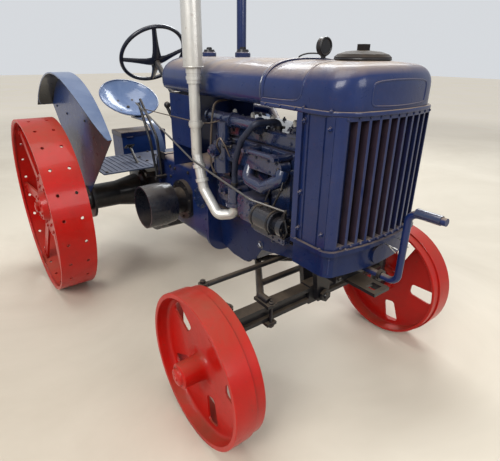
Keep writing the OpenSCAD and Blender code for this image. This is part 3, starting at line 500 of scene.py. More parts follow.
def hood_height(x, y, depth, shoulder):
    """Height of the shell at a place that lies some depth inside its outline."""
    height = HOOD_TOP - (y * y + max(0.0, x - 1740) ** 2) / (2 * CROWN_R)
    if depth < shoulder:
        height -= shoulder * 0.92 * (1 - (1 - (1 - depth / shoulder) ** 2.3) ** (1 / 2.3))
    return height


def round_corner(a, b, c, steps=12):
    """Places between a and c along a rounded corner that leans towards b."""
    p, q = a * 0.35 + b * 0.65, c * 0.45 + b * 0.55
    return [a * (1 - t) ** 3 + p * 3 * t * (1 - t) ** 2 + q * 3 * t * t * (1 - t) + c * t ** 3
            for t in (k / steps for k in range(1, steps))]


def mirrored(points):
    """The same places on the other side of the tractor, in reverse order."""
    return [Vector((p.x, -p.y, p.z)) for p in reversed(points)]


def oval(degrees, half_width, height, power):
    """A place on a squared-off oval, from its middle."""
    c, n = turned(degrees)
    return math.copysign(abs(c) ** (2 / power), c) * half_width, math.copysign(abs(n) ** (2 / power), n) * height


def hood():
    bm = bmesh.new()
    # outline from the rear edge of the raised part round the right corner to the middle of the front
    front = [Vector((front_x(y, 2), y, 0)) for y in range(-176, 1, 16)]
    outline = [Vector((x, -250, 0)) for x in (1696, 1715, 1735, 1755, 1775, 1795)]
    outline += round_corner(outline[-1], Vector((1862, -250, 0)), front[0]) + front
    rows = []
    for p in outline + mirrored(outline[:-1]):
        spine = Vector((min(p.x, SPINE_X), 0, 0))
        reach = (p - spine).length
        shoulder = SHOULDER + (FRONT_SHOULDER - SHOULDER) * max(0.0, min(1.0, (p.x - 1790) / 90))
        # ten rows over the shoulder, then five over the crown
        depths = [shoulder * (1 - turned(k * 10)[0]) for k in range(10)]
        depths += [shoulder + (reach - shoulder) * k / 5 for k in range(1, 6)]
        row = [Vector((p.x, p.y, SEAM_Z))]
        for depth in depths:
            q = p + (spine - p) * (depth / reach)
            row.append(Vector((q.x, q.y, hood_height(q.x, q.y, depth, shoulder))))
        rows.append([bm.verts.new(v) for v in row])
    skin(bm, rows)
    # the rear edge of the raised part turns in to meet the lower shell behind it
    for row in (rows[0], rows[-1]):
        skin(bm, (row, [bm.verts.new(Vector((1690, v.co.y * 0.93, SEAM_Z + (v.co.z - SEAM_Z) * 0.93))) for v in row]))
    # lower shell behind, with its own shoulders
    rows = []
    for x, k in ((1492, 0.985), (1496, 1), (1540, 1), (1590, 1), (1640, 1), (1700, 1)):
        arch = [(y, 1300 + z) for y, z in (oval(a, 240, 109, 2.8) for a in range(0, 181, 5))]
        arch = [(240, 1256)] + arch + [(-240, 1256)]
        rows.append([bm.verts.new(Vector((x, y * k, 1256 + (z - 1256) * k))) for y, z in arch])
    skin(bm, rows)
    bm.faces.new(list(reversed(rows[0])))
    # rolled flange all round: height and inset of each line of its section
    lip = [Vector((x, y, 0)) for x, y in ((1492, -252), (1600, -252), (1690, -257), (1700, -260), (1800, -260))]
    lip += round_corner(lip[-1], Vector((1872, -260, 0)), Vector((front_x(176, -8), -182, 0)))
    lip += [Vector((front_x(y, -8), y, 0)) for y in range(-176, 1, 16)]
    lip += mirrored(lip[:-1])
    rows = []
    for z, inset in ((1255.2, 30), (1255.2, 3), (1256.5, 0.8), (1259, 0), (1265, 0), (1267.6, 0.8), (1269, 3),
                     (1269, 30)):
        row = []
        for i, p in enumerate(lip):
            t = (lip[min(i + 1, len(lip) - 1)] - lip[max(i - 1, 0)]).normalized()
            row.append(bm.verts.new(Vector((p.x - t.y * inset, p.y + t.x * inset, z))))
        rows.append(row)
    skin(bm, rows)
    for i in (0, -1):
        bm.faces.new([row[i] for row in rows])
    # skirt along both sides, with the curved rear edge of the raised part and a rounded outer edge
    edge = [(1494, 1262), (1704, 1262), (1704, 1336), (1703, 1322), (1699, 1308), (1691, 1297), (1679, 1290),
            (1662, 1286), (1630, 1284), (1494, 1281)]
    for s in (-1, 1):
        rows = []
        for y, shrink in ((238, 0), (247.5, 0), (249.8, 1.6)):
            row = []
            for x, z in edge:
                dx = shrink if 1500 <= x <= 1703.5 and z > 1270 else 0
                dz = shrink if 1270 < z < 1300 else 0
                row.append(bm.verts.new(Vector((x + dx, s * y, z - dz))))
            rows.append(row)
        skin(bm, rows, closed=True)
        bm.faces.new(rows[-1])
    bmesh.ops.remove_doubles(bm, verts=bm.verts, dist=0.02)
    ob = to_object("hood_shell", bm)
    dress(ob, BLUE, "chassis", 40)
    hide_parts("top_tank")
    TREES["top_tank"] = tree_of(ob.data)


hood()


# Fuel tank: a smooth soldered drum with rounded ends and two filler necks
FILLERS = (740, 1035)


def fuel_tank():
    bm = bmesh.new()
    rows = []
    # stations along the drum, and how far each stands out from the plain section
    for x, g in ((650, -18), (651, -10), (654, -4), (660, -0.8), (670, 0), (1473, 0), (1475, 3), (1478, 4.5),
                 (1488, 4.5), (1491.6, 3)):
        row = []
        for k in range(64):
            height, power = (112 + g, 2.8) if 0 < k <= 32 else (62 + g, 3.6)
            y, z = oval(360 * k / 64, 235 + g, height, power)
            row.append(bm.verts.new(Vector((x, y, 1300 + z))))
        rows.append(row)
    skin(bm, rows, closed=True)
    bm.faces.new(rows[0])
    bm.faces.new(rows[-1])
    for x in FILLERS:
        for low, high, r, r2 in ((1404, 1430, 36, 36), (1430, 1434, 36, 32)):
            bmesh.ops.create_cone(bm, cap_ends=True, segments=28, radius1=r, radius2=r2, depth=high - low,
                                  matrix=Matrix.Translation((x, 0, (low + high) / 2)))
    ob = to_object("fuel_tank_shell", bm)
    dress(ob, BLUE, "chassis")
    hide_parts("fuel_tank")
    TREES["fuel_tank"] = tree_of(ob.data)


fuel_tank()


# Front wheels: a cast disc with five rounded windows and a long hub barrel. Radius and distance from the middle.
WHEEL_PROFILE = [
    (291, 527), (293, 525), (301, 525), (303, 527), (303, 568.3), (308, 568.3), (310, 570), (310, 653), (308, 655),
    (293, 655), (291, 653), (291, 612), (287, 604), (280, 600), (262, 597), (200, 593), (140, 590), (86, 590),
    (70, 593), (60, 600), (54, 610), (51, 630), (49, 700), (44, 704), (36, 704), (34, 707), (33, 713), (28, 716),
    (0, 717), (0, 675), (22.05, 675), (22.05, 530), (56, 530), (60, 534), (60, 572), (70, 580), (140, 582),
    (200, 585), (262, 589), (280, 589), (287, 586), (291, 578)]
WHEEL_STEPS = 120


def front_wheel(side, s):
    bm = bmesh.new()
    rows = []
    for r, y in WHEEL_PROFILE:
        rim = around(WHEEL_STEPS if r else 1, r)
        rows.append([bm.verts.new(Vector((FRONT_X + u, s * y, FRONT_Z + v))) for u, v in rim])
    for a, b in zip(rows, rows[1:] + rows[:1]):
        for k in range(WHEEL_STEPS):
            j = (k + 1) % WHEEL_STEPS
            quad = [a[k % len(a)], a[j % len(a)], b[j % len(b)], b[k % len(b)]]
            quad = [v for i, v in enumerate(quad) if v not in quad[:i]]
            if len(quad) > 2:
                bm.faces.new(quad)
    # a window's four rounded corners: their middles, first angles and radii
    window = []
    for u, v, start, r in ((248, -16, -90, 20), (248, 16, 0, 20), (164, 12, 90, 18), (164, -12, 180, 18)):
        for k in range(7):
            c, n = turned(start + 15 * k)
            window.append((u + r * c, v + r * n))
    cut = bmesh.new()
    # five windows, cut through the disc
    for i in range(5):
        c, n = turned(68 + 72 * i)
        ends = [[cut.verts.new(Vector((FRONT_X + u * c - v * n, s * y, FRONT_Z + u * n + v * c))) for u, v in window]
                for y in (560, 640)]
        skin(cut, ends, closed=True)
        cut.faces.new(list(reversed(ends[0])))
        cut.faces.new(ends[1])
    body, cutter = to_object("front_wheel_form_" + side, bm), to_object("cutter", cut)
    mod = body.modifiers.new("windows", "BOOLEAN")
    mod.operation, mod.object, mod.solver = "DIFFERENCE", cutter, "EXACT"
    made = bpy.data.meshes.new_from_object(body.evaluated_get(bpy.context.evaluated_depsgraph_get()))
    body.modifiers.clear()
    body.data = made
    bpy.data.objects.remove(cutter)
    dress(body, RED, "front_wheel_" + side)
    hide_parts("front_wheel_" + side)


for side, s in (("right", -1), ("left", 1)):
    front_wheel(side, s)

# Engine: bolts, nuts and small fittings
eng = Forms("engine_fittings", "chassis", ENGINE, "body_blue")
for x in range(1035, 1600, 92):
    for y in (-104, 0, 112):
        on(eng, "cylinder_head", (x, y, 1300), (0, 0, -1), 9, stud=True)
for x in range(1040, 1600, 62):
    for s in (-1, 1):
        on(eng, "oil_pan", (x, s * 138, 560), (0, 0, 1), 6.5)
for x in (1030, 1130, 1225, 1330, 1420, 1520, 1590):
    on(eng, "engine_block", (x, -300, 1060), (0, 1, 0), 8)
    on(eng, "cylinder_head", (x + 12, -300, 1106), (0, 1, 0), 7)
for i in range(4):
    for dx, dz in ((-45, -92), (45, -92), (-45, 92), (45, 92), (0, -92), (0, 92)):
        at, n = hit("engine_block", (1080 + i * 142 + dx, -300, 910 + dz), (0, 1, 0))
        if at and at.y < -143:
            eng.bolt(at, n, 6)
for z in range(560, 880, 64):
    for s in (-1, 1):
        on(eng, "gearbox", (900, s * 189, z), (1, 0, 0), 8, stud=True)
for a in (25, 45, 65, 90, 115, 135, 155):
    c, n = turned(a)
    on(eng, "gearbox", (900, 189 * c, 760 + 183 * n), (1, 0, 0), 8)
for z in range(520, 850, 66):
    for s in (-1, 1):
        on(eng, "gearbox", (500, s * 164, z), (-1, 0, 0), 8)
for x in (1048, 1300, 1550):
    eng.block((x - 34, -141, 1133), (x + 34, -118, 1146), 3)
for x in PLUGS_X:
    eng.cone((x, PLUGS_Y, 1150), (x, PLUGS_Y, 1160), 15, seg=6)
    eng.cone((x, PLUGS_Y, 1160), (x, PLUGS_Y, 1165), 15, 11, seg=6)
for x in (1004, 1190, 1373):
    for u, v in around(4, 29, 45):
        eng.bolt((x + 12, -165 + u, 1159 + v), (1, 0, 0), 4.5)
for x in (1085, 1130, 1172, 1215, 1400, 1480, 1530):
    on(eng, "manifold", (x, -400, 1037), (0, 1, 0), 5.5, stud=True)
    on(eng, "manifold", (x + 8, -400, 995), (0, 1, 0), 5.5, stud=True)
for x in (1345, 1540):
    eng.cone((x, -205, 1059), (x, -226, 1059), 12, 10, seg=6)
eng.cone((1344, -205, 1059), (1372, -205, 1059), 15, seg=6)
eng.cone((1513, -205, 1059), (1541, -205, 1059), 15, seg=6)
for u, v in around(6, 33):
    eng.bolt((1372 + u, -235, 818 + v), (0, -1, 0), 4.5)
for u, v in around(6, 35):
    eng.bolt((1150 + u, -193 + v, 1065), (0, 0, 1), 4)
for dx, dz in ((20, 20), (115, 20), (20, 98), (115, 98)):
    on(eng, "governor_housing", (1305 + dx, -400, 752 + dz), (0, 1, 0), 6)
for x in (1400, 1440, 1480, 1520, 1560, 1583):
    on(eng, "governor_housing", (x, -400, 722), (0, 1, 0), 5)
for dx, dz in ((18, 18), (96, 18), (18, 94), (96, 94)):
    on(eng, "governor_housing", (1100 + dx, -400, 782 + dz), (0, 1, 0), 5)
eng.cone((1157, -187, 835), (1157, -206, 835), 26, 24, seg=20)
eng.cone((1157, -206, 835), (1157, -222, 835), 11, seg=6)
eng.cone((1150, -259, 1025), (1150, -270, 1025), 13, seg=6)
for u, v in around(4, 24, 45):
    eng.bolt((1150 + u, -251, 1025 + v), (0, -1, 0), 4)
for s in (-1, 1):
    eng.bolt((1262 + s * 34, -208, 806), (0, 0, 1), 6.5, stud=True)
# side cover of the bell housing and a filler boss on the sump
eng.cone((900, -181, 720), (900, -190, 720), 58, 54, seg=28)
for u, v in around(6, 47, math.degrees(0.3)):
    eng.bolt((900 + u, -190, 720 + v), (0, -1, 0), 5)
on(eng, "oil_pan", (1190, -70, 380), (0, 0, 1), 17)
on(eng, "oil_pan", (1350, -300, 600), (0, 1, 0), 15, square=True)
for x, z in ((1062, 655), (1090, 668), (1440, 655), (1475, 668)):
    on(eng, "oil_pan", (x, -300, z), (0, 1, 0), 6)
# fuel tank: a bead at each end
for x, r in ((662, 6), (1466, 4)):
    line = []
    for k in range(40):
        c, n = turned(-12 + 204 * k / 39)
        at, out = hit("fuel_tank", (x, 700 * c, 1315 + 700 * n), (0, -c, -n))
        if at:
            line.append(at - out * (r * 0.45))
    eng.tube(line, r, 8)
# grip of the starting crank
eng.cone((2030, -12, 951.2), (2118, -12, 952), 16.5, seg=18)
eng.finish()

plugs = Forms("spark_plugs", "chassis", CERAMIC, "silver")
for x in PLUGS_X:
    plugs.cone((x, PLUGS_Y, 1164), (x, PLUGS_Y, 1184), 9.5, 9)
    plugs.cone((x, PLUGS_Y, 1184), (x, PLUGS_Y, 1191), 9, 4.5)
plugs.finish()

# Radiator and its tanks
rad = Forms("radiator_fittings", "chassis", BLUE, "body_blue")
bead = []
for k in range(41):
    c, n = turned(2 + 176 * k / 40)
    at, out = hit("top_tank", (1704, 600 * c, 1290 + 600 * n), (0, -c, -n))
    if at and at.z > 1322:
        bead.append(at - out * 1.2)
if bead[0].y > bead[-1].y:
    bead.reverse()
ends = [Vector((x, 248.4, z)) for x, z in ((1703, 1316), (1699, 1305), (1690, 1295), (1678, 1289), (1655, 1285),
                                           (1600, 1282.5), (1500, 1281))]
rad.tube(curve(mirrored(ends) + bead[::2] + ends, 3), 3.0, 8)
# bordered panel across the front
panel = []
for y, z in ((-128, 1283), (-140, 1295), (-140, 1338), (-122, 1352), (-60, 1357), (0, 1358), (60, 1357), (122, 1352),
             (140, 1338), (140, 1295), (128, 1283), (60, 1280), (0, 1279), (-60, 1280)):
    at, n = hit("top_tank", (2100, y, z), (-1, 0, 0))
    panel.append(at - n * 1.0)
rad.tube(curve(panel + panel[:1], 4)[:-1], 3.2, 8, closed=True)
for x, y in ((1720, 254.5), (1836, 251)):
    for k in (-1, 1):
        rad.bolt((x, k * y, 1269), (0, 0, 1), 5, stud=True)
        rad.bolt((x, k * (y + 1), 808), (0, 0, 1), 5)
for y in (-180, 180):
    rad.bolt((front_x(y, -2), y, 808), (0, 0, 1), 5)
for s in (-1, 1):
    for x, w in ((1742, 5), (1814, 4)):
        rad.block((x - w / 2, s * 249 - 3, 812), (x + w / 2, s * 249 + 3, 1251), 1.5)
    for x, z in ((1722, 1228), (1722, 985), (1722, 850), (1835, 1216), (1835, 862)):
        rad.bolt((x, s * 248.5, z), (0, s, 0), 8.5 if x < 1800 else 7, stud=True)
    on(rad, "bottom_tank", (1990, s * 330, 770), (-1, -s * 0.8, 0), 3)
    corner = []
    for z in (712, 730, 750, 770, 788):
        at, n = hit("bottom_tank", (1990, s * 330, z), (-1, -s * 0.8, 0))
        if at:
            corner.append(at - n)
    rad.tube(corner, 3.2, 6)
BAR_PITCH = 44
for i in range(10):
    on(rad, "radiator_guard", (2100, (i - 4.5) * BAR_PITCH, 815), (-1, 0, 0), 6)
for i in range(11):
    on(rad, "radiator_guard", (2100, (i - 5) * BAR_PITCH, 1248), (-1, 0, 0), 3.5)
for x in (1520, 1600, 1680):
    for s in (-1, 1):
        on(rad, "top_tank", (x, s * 400, 1262), (0, -s, 0), 5)
rad.finish()

# Dark fittings of the chassis
dark = Forms("chassis_fittings", "chassis", BLACK, "axle_black")
for s in (-1, 1):
    for x in (1562, 1638):
        dark.bolt((x, s * 290, 491.3), (0, 0, 1), 12, stud=True)
        dark.bolt((x, s * 290, 389), (0, 0, -1), 12)
    for u, v in around(8, 138, 22):
        at, n = hit("rear_axle_case", (u, s * 260, REAR_Z + v), (0, -s, 0))
        if at:
            dark.bolt(at, (0, s, 0), 9)
    for u, v in around(6, 108):
        dark.bolt((u, s * 503.5, REAR_Z + v), (0, -s, 0), 8)
for k in range(3):
    for s in (-1, 1):
        on(dark, "front_support", (2000, s * 88, 620 + k * 35), (-1, 0, 0), 9)
dark.cone((1661, 0, 440), (1676, 0, 440), 30, seg=6)
dark.cone((1676, 0, 440), (1684, 0, 440), 16, 13, seg=12)
for y in (-32, 32):
    on(dark, "tow_plate", (1760, y, 700), (0, 0, -1), 9)
# magneto: bands, end cap, coupling, top terminal
for x in (1462, 1560):
    ring_about(dark, (x, MAGNETO_Y, MAGNETO_Z), (1, 0, 0), 49, 9, 2.5, lug=None)
dark.cone((1446, MAGNETO_Y, MAGNETO_Z), (1436, MAGNETO_Y, MAGNETO_Z), 44, 36, seg=24)
for u, v in around(6, 32):
    dark.bolt((1632, MAGNETO_Y + u, MAGNETO_Z + v), (1, 0, 0), 5)
dark.cone((1632, MAGNETO_Y, MAGNETO_Z), (1644, MAGNETO_Y, MAGNETO_Z), 13, seg=6)
dark.cone((1500, MAGNETO_Y, 856), (1500, MAGNETO_Y, 872), 15, 11, seg=14)
dark.cone((1530, MAGNETO_Y, 856), (1530, MAGNETO_Y, 866), 9, 9, seg=6)
dark.block((1470, -238, 851), (1488, -200, 861), 2)
# short arms and rods beside the engine
for a, b, r in (((1546, -178, 1067), (1541, -196, 1016), 4), ((1541, -196, 1016), (1500, -222, 884), 4),
                ((1562, -178, 1000), (1574, -206, 945), 4.5), ((1574, -206, 945), (1548, -224, 872), 4.5),
                ((1150, -240, 925), (1150, -240, 905), 9), ((1186, -212, 1048), (1262, -226, 1060), 4)):
    dark.tube([a, b], r, 8)
for c in ((1541, -196, 1016), (1574, -206, 945), (1262, -226, 1060), (1186, -212, 1048)):
    dark.ball(c, 8)
dark.block((1626, -236, 842), (1634, -226, 876), 2)
dark.tube([(1630, -231, 846), (1648, -233, 800), (1626, -231, 762)], 5, 6)
dark.tube([(1617, -219, 866), (1592, -226, 830), (1596, -228, 770), (1626, -231, 762)], 5, 6)
# lever quadrant, pedal and shafts by the driver
dark.block((392, -172, 838), (470, -166, 880), 2)
dark.tube([(296, -212, 712), (240, -236, 752), (196, -240, 786), (150, -240, 822), (108, -240, 862)], 9, 8)
dark.block((72, -268, 858), (128, -212, 868), 3, Matrix.Rotation(math.radians(-28), 3, "Y"))
dark.cone((296, -150, 712), (296, -228, 712), 16, seg=16)
for y in (-184, -216):
    dark.bolt((430, y, 720), (0, -1, 0), 8)
for x, z in ((500, 800), (560, 800), (500, 740), (720, 810), (760, 700)):
    on(dark, "gearbox", (x, -400, z), (0, 1, 0), 8)
dark.block((440, -70, 849), (700, 70, 857), 3)
for x in (455, 530, 610, 685):
    for y in (-58, 58):
        dark.bolt((x, y, 857), (0, 0, 1), 6)
dark.cone((430, 0, 850), (430, 0, 880), 34, 16, seg=20)
# pulley housing bolts, drawbar bolts, crank sleeve
for u, v in around(8, 100, 10):
    dark.bolt((PULLEY_X + u, -176, PULLEY_Z + v), (0, -1, 0), 7)
for z in (470, 540, 610):
    for y in (-62, 62):
        on(dark, "drawbar", (-400, y, z), (1, 0, 0), 10)
dark.cone((1920, 0, 664), (1934, 0, 664), 22, seg=20)
# gauge bezel, stem and the tube behind it, cap rim and filler caps
dark.ring((1555, 0, 1454), (1, 0, 0), 29, 4, 32, 8)
dark.cone((1546, 0, 1420), (1546, 0, 1428), 12, seg=6)
dark.tube(curve([(1546, 4, 1424), (1510, 10, 1430), (1474, -8, 1430), (1452, -26, 1422), (1444, -34, 1410)], 5), 3, 6)
dark.ring((1728, 0, 1414), (0, 0, 1), 92, 4.5, 56, 8)
for x in FILLERS:
    dark.cone((x, 0, 1433), (x, 0, 1445), 30, 26, seg=24)
    dark.block((x - 22, -5, 1443), (x + 22, 5, 1456), 3)
# breather clamps
ring_about(dark, (1427, -100, 1154), (0, 0, 1), 13, 12, 3)
ring_about(dark, (1262, -208, 892), (0, 0, 1), 13, 12, 3, 2.0)
dark.finish()

dial = Forms("gauge_dial", "chassis", BLACK, "axle_black")
dial.cone((1555.2, 0, 1454), (1556, 0, 1454), 23, seg=32)
dial.finish()

pipes = Forms("fuel_pipes", "chassis", COPPER, "steel_grey")
pipes.tube(curve([(1100, -120, 1238), (1096, -190, 1226), (1098, -212, 1180), (1100, -226, 1060), (1106, -232, 960),
                  (1140, -226, 905), (1157, -214, 890)], 6), 5, 8)
pipes.tube(curve([(1178, -226, 1020), (1188, -250, 1060), (1204, -244, 1090), (1226, -232, 1060),
                  (1236, -214, 1010)], 6), 4, 8)
pipes.tube(curve([(376, -236, 1128), (700, -246, 1132), (1049, -240, 1135), (1130, -196, 1150)], 4), 3, 6)
pipes.finish()

clips = Forms("split_pins", "chassis", BRIGHT, "steel_grey")
for y in (12, 92):
    clips.tube(curve([(1916, y, 790), (1932, y + 6, 782), (1946, y + 14, 768), (1950, y + 26, 756)], 4), 2.2, 6)
    clips.tube(curve([(1916, y, 790), (1936, y - 4, 790), (1950, y + 2, 786), (1962, y + 14, 778)], 4), 2.2, 6)
for x, z in ((1078, 866), (1052, 872)):
    clips.tube([(x, -284, z), (x, -284, z + 2)], 2, 6)
clips.finish()

# Exhaust clamps
pipe = Forms("exhaust_clamps", "chassis", MATS["silver"], "silver")
ring_about(pipe, (EXHAUST_X, EXHAUST_Y, 1136), (0, 0, 1), 28, 16, 3, 0.9)
ring_about(pipe, (EXHAUST_X, EXHAUST_Y, 1330), (0, 0, 1), 30, 14, 3, 2.2)
pipe.ring((EXHAUST_X, EXHAUST_Y, 1374), (0, 0, 1), 42, 2.5, 40, 8)
pipe.ring((EXHAUST_X, EXHAUST_Y, 1816), (0, 0, 1), 42, 2.5, 40, 8)
pipe.finish()

# Driver's place: the seat's rim and eyelets lie on a sphere that leans back 32 degrees
seat = Forms("seat_fittings", "chassis", PALE, "pale_blue")
c, n = turned(32)
centre, axis, along = Vector((-330, 0, 1288)), Vector((-n, 0, -c)), Vector((c, 0, -n))
seat.ring(centre + axis * 201.5, axis, 214.5, 4.6, 72, 8)
seat.finish()
holes = Forms("seat_eyelets", "chassis", BLACK, "axle_black")
for u, v in ((-70, -60), (-70, 60), (50, -80), (50, 80), (0, 0)):
    d = (axis + along * u / 300 + Vector((0, 1, 0)) * v / 300).normalized()
    at = centre + d * 294
    if u or v:
        holes.cone(at + d * 1.0, at - d * 0.8, 9, seg=16)
    else:
        holes.bolt(at, -d, 10)
holes.finish()

guards = Forms("mudguard_fittings", "chassis", BLACK, "axle_black")
for s in (-1, 1):
    for a, r in ((52, 700), (95, 700), (128, 700), (70, 560), (110, 560)):
        c, n = turned(a)
        at = Vector((r * c, s * 519.6, REAR_Z + r * n))
        guards.bolt(at, (0, -s, 0), 8)
        guards.bolt(at + Vector((0, s * 4.6, 0)), (0, s, 0), 6)
    guards.block((-18, s * 508 - 10, 640), (18, s * 508 + 10, 1180), 3)
guards.finish()
edges = Forms("mudguard_beads", "chassis", PALE, "pale_blue")
for s in (-1, 1):
    c, n = turned(134.7)
    line = [Vector((784 * c, s * y, REAR_Z + 784 * n)) for y in (523, 560, 600)]
    for a in range(130, 70, -6):
        c, n = turned(a)
        line.append(Vector((780.5 * c, s * 621.5, REAR_Z + 780.5 * n)))
    edges.tube(curve(line, 2), 4, 8)
edges.finish()

box = Forms("toolbox_fittings", "chassis", BLUE, "body_blue")
box.block((-424, -174, 858), (-219.5, 174, 894), 4)
for y in (-110, 110):
    box.cone((-222, y - 24, 856), (-222, y + 24, 856), 6, seg=12)
for y in (-150, 150):
    for z in (622, 700, 780):
        box.ball((-222.5, y, z), 5)
box.block((-426, -18, 836), (-418, 18, 878), 3)
box.finish()

plate = Forms("foot_plate_bolts", "chassis", IRON, "steel_grey")
for x in (-40, 80, 200, 336):
    for y in (-480, -170, -60, 60, 170, 480):
        plate.bolt((x, y, 776.5), (0, 0, 1), 8)
plate.finish()

# Wheels, steering and pulley
for side, s in (("right", -1), ("left", 1)):
    hub = Forms("rear_hub_bolts_" + side, "rear_wheel_" + side, RED, "wheel_red")
    for k in range(6):
        c, n = turned(60 * k)
        for r, w in ((128, -16), (128, 16), (176, -16), (176, 16), (492, -16), (492, 16)):
            place = (c * r - n * w, s * 1000, REAR_Z + n * r + c * w)
            at, out = hit("rear_wheel_" + side, place, (0, -s, 0))
            if at and r == 492:
                hub.bolt(at, out, 8)
            elif at:
                hub.bolt(at, (0, s, 0), 7.5)
    for u, v in around(8, 66, 22.5):
        at, out = hit("rear_wheel_" + side, (u, s * 1000, REAR_Z + v), (0, -s, 0))
        if at:
            hub.bolt(at, (0, s, 0), 7)
    hub.cone((0, s * 829, REAR_Z), (0, s * 845, REAR_Z), 34, seg=6)
    hub.cone((0, s * 845, REAR_Z), (0, s * 849, REAR_Z), 20, 17, seg=16)
    hub.finish()
    cap = Forms("front_hub_caps_" + side, "front_wheel_" + side, RED, "wheel_red")
    cap.ring((FRONT_X, s * 703, FRONT_Z), (0, 1, 0), 40, 2.5, 32, 6)
    cap.cone((FRONT_X, s * 716, FRONT_Z), (FRONT_X, s * 720, FRONT_Z), 14, 12, seg=6)
    cap.finish()
    pin = Forms("kingpin_fittings_" + side, "knuckle_" + side, BLACK, "axle_black")
    top = 534 if s < 0 else 576
    pin.cone((FRONT_X, s * KING_Y, top), (FRONT_X, s * KING_Y, top + 8), 22, 17, seg=20)
    pin.cone((FRONT_X, s * KING_Y, top + 8), (FRONT_X, s * KING_Y, top + 18), 8, seg=6)
    pin.cone((1428, s * KING_Y, 559), (1428, s * KING_Y, 570), 13, seg=6)
    pin.ball((1428, s * KING_Y, 570), 7)
    pin.bolt((FRONT_X, s * KING_Y, 276), (0, 0, -1), 12)
    pin.finish()

# Tapered covers over the spokes, and the nut, square to a column that leans 42 degrees
wheel = Forms("steering_wheel_spokes", "steering_wheel", OWN["steering_wheel"], "axle_black")
c, n = turned(42)
a, hubc = Vector((c, 0, -n)), Vector((88, 0, 1385))
for i in range(4):
    x, y = turned(12 + 90 * i)
    out = Vector((-n * x, y, -c * x))
    side = a.cross(out)
    # radius, place along the column and half width of each section
    rows = []
    for r, z, w in ((14, 7, 34), (40, 4, 30), (62, 0, 25), (100, -13, 20), (150, -31, 16), (204, -49, 14)):
        middle = hubc + out * r + a * z
        rows.append([wheel.bm.verts.new(middle + side * (w * u) + a * (10 * v)) for u, v in around(12, 1)])
    skin(wheel.bm, rows, closed=True)
    wheel.bm.faces.new(rows[0])
    wheel.bm.faces.new(rows[-1])
wheel.cone(hubc + a * 2, hubc - a * 12, 17, seg=6)
wheel.cone(hubc - a * 12, hubc - a * 20, 9, 7, seg=12)
wheel.finish()

drum = Forms("pulley_bolts", "belt_pulley", IRON, "steel_grey")
for y, end, r, r2, seg in ((-307, -316, 26, 26, 24), (-316, -330, 20, 20, 6), (-330, -338, 11, 9, 12)):
    drum.cone((PULLEY_X, y, PULLEY_Z), (PULLEY_X, end, PULLEY_Z), r, r2, seg=seg)
for u, v in around(6, 74):
    drum.bolt((PULLEY_X + u, -270, PULLEY_Z + v), (0, -1, 0), 7)
drum.finish()

arm = Forms("drop_arm_nut", "drop_arm", BLACK, "axle_black")
arm.cone((610, 196, 770), (610, 208, 770), 22, seg=6)
arm.cone((610, 208, 770), (610, 216, 770), 12, 10, seg=12)
arm.finish()


# Stage: pale floor, soft light, the photograph's camera.
def shown(nt):
    """One for rays that should show the pale background: camera, glossy and transmission rays."""
    rays = node(nt, "ShaderNodeLightPath").outputs
    seen = maths(nt, "ADD", rays["Is Camera Ray"], rays["Is Glossy Ray"])
    return maths(nt, "ADD", seen, rays["Is Transmission Ray"], True)


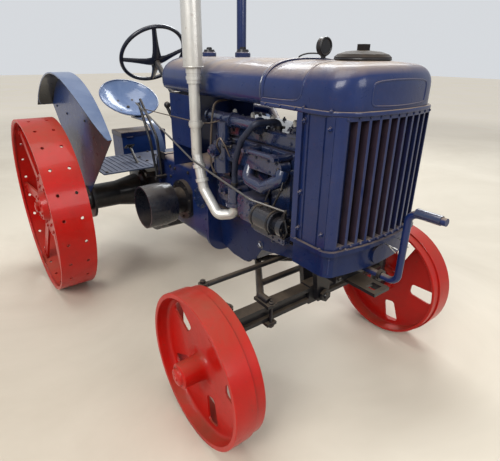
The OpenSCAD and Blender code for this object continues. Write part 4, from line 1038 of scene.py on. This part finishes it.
floor_mat = paint("pale_floor", (0.66, 0.60, 0.50), (0.53, 0.47, 0.38), dust_up=0.0, film=0.0, rust=0.0, edge=0.0,
                  corner_shade_and_grime=0.0, rough=0.75, bump=0.03, scale=0.55, dents=0.0)
ft = floor_mat.node_tree
far = vector(ft, "LENGTH", node(ft, "ShaderNodeTexCoord").outputs["Object"])
far = ramp(ft, maths(ft, "MULTIPLY", far, 0.05), [(0.15, 0.0), (0.5, 1.0)])
surface = ft.nodes["Principled BSDF"]
surface.inputs["Emission Color"].default_value = (0.62, 0.58, 0.51, 1)
glow = maths(ft, "MULTIPLY", maths(ft, "MULTIPLY", shown(ft), far), 0.8)
ft.links.new(glow, surface.inputs["Emission Strength"])
bpy.ops.mesh.primitive_plane_add(size=60)
floor = bpy.context.object
floor.name = "floor"
floor.data.materials.append(floor_mat)

world = bpy.data.worlds.new("studio")
world.use_nodes = True
wt = world.node_tree
back = wt.nodes["Background"]
back.inputs[0].default_value = (0.90, 0.93, 0.97, 1)
wt.links.new(maths(wt, "ADD", maths(wt, "MULTIPLY", shown(wt), 0.55), 0.20), back.inputs[1])
bpy.context.scene.world = world


def area(name, at, target, size, power, colour=(1, 1, 1), size_y=None):
    data = bpy.data.lights.new(name, "AREA")
    data.size = size
    if size_y:
        data.shape = "RECTANGLE"
        data.size_y = size_y
    data.energy = power
    data.color = colour
    ob = bpy.data.objects.new(name, data)
    bpy.context.scene.collection.objects.link(ob)
    ob.location = at
    ob.rotation_euler = (Vector(target) - Vector(at)).to_track_quat("-Z", "Y").to_euler()


area("key", (2.6, -5.0, 4.6), (0, 0, 0.7), 3.0, 310, (1.0, 0.97, 0.93))
area("front", (6.0, 0.5, 3.2), (0.6, 0, 0.9), 2.5, 110, (1.0, 0.98, 0.95))
area("windows", (-2.5, 3.5, 4.5), (0, 0, 1.0), 5.0, 330, (0.93, 0.97, 1.0), 1.6)
area("top", (0.3, -0.8, 5.5), (0, 0, 0.8), 3.0, 120)

cam_data = bpy.data.cameras.new("photo_view")
cam = bpy.data.objects.new("photo_view", cam_data)
bpy.context.scene.collection.objects.link(cam)
bpy.context.scene.camera = cam
# where the photograph was taken from, its heading, downward pitch and roll
(cos_az, sin_az), (cos_down, sin_down), (cos_roll, sin_roll) = turned(142.9), turned(23.7), turned(0.6)
fwd = Vector((cos_az * cos_down, sin_az * cos_down, -sin_down))
right = fwd.cross(Vector((0, 0, 1))).normalized()
up = right.cross(fwd)
right, up = right * cos_roll + up * sin_roll, up * cos_roll - right * sin_roll
cam.matrix_world = Matrix.Translation(P(2687.4, -1196.7, 1425.9)) @ Matrix((right, up, -fwd)).transposed().to_4x4()
cam_data.sensor_width = 36
cam_data.lens = 402.1 / 500 * 36
bpy.context.scene.view_settings.view_transform = "Standard"
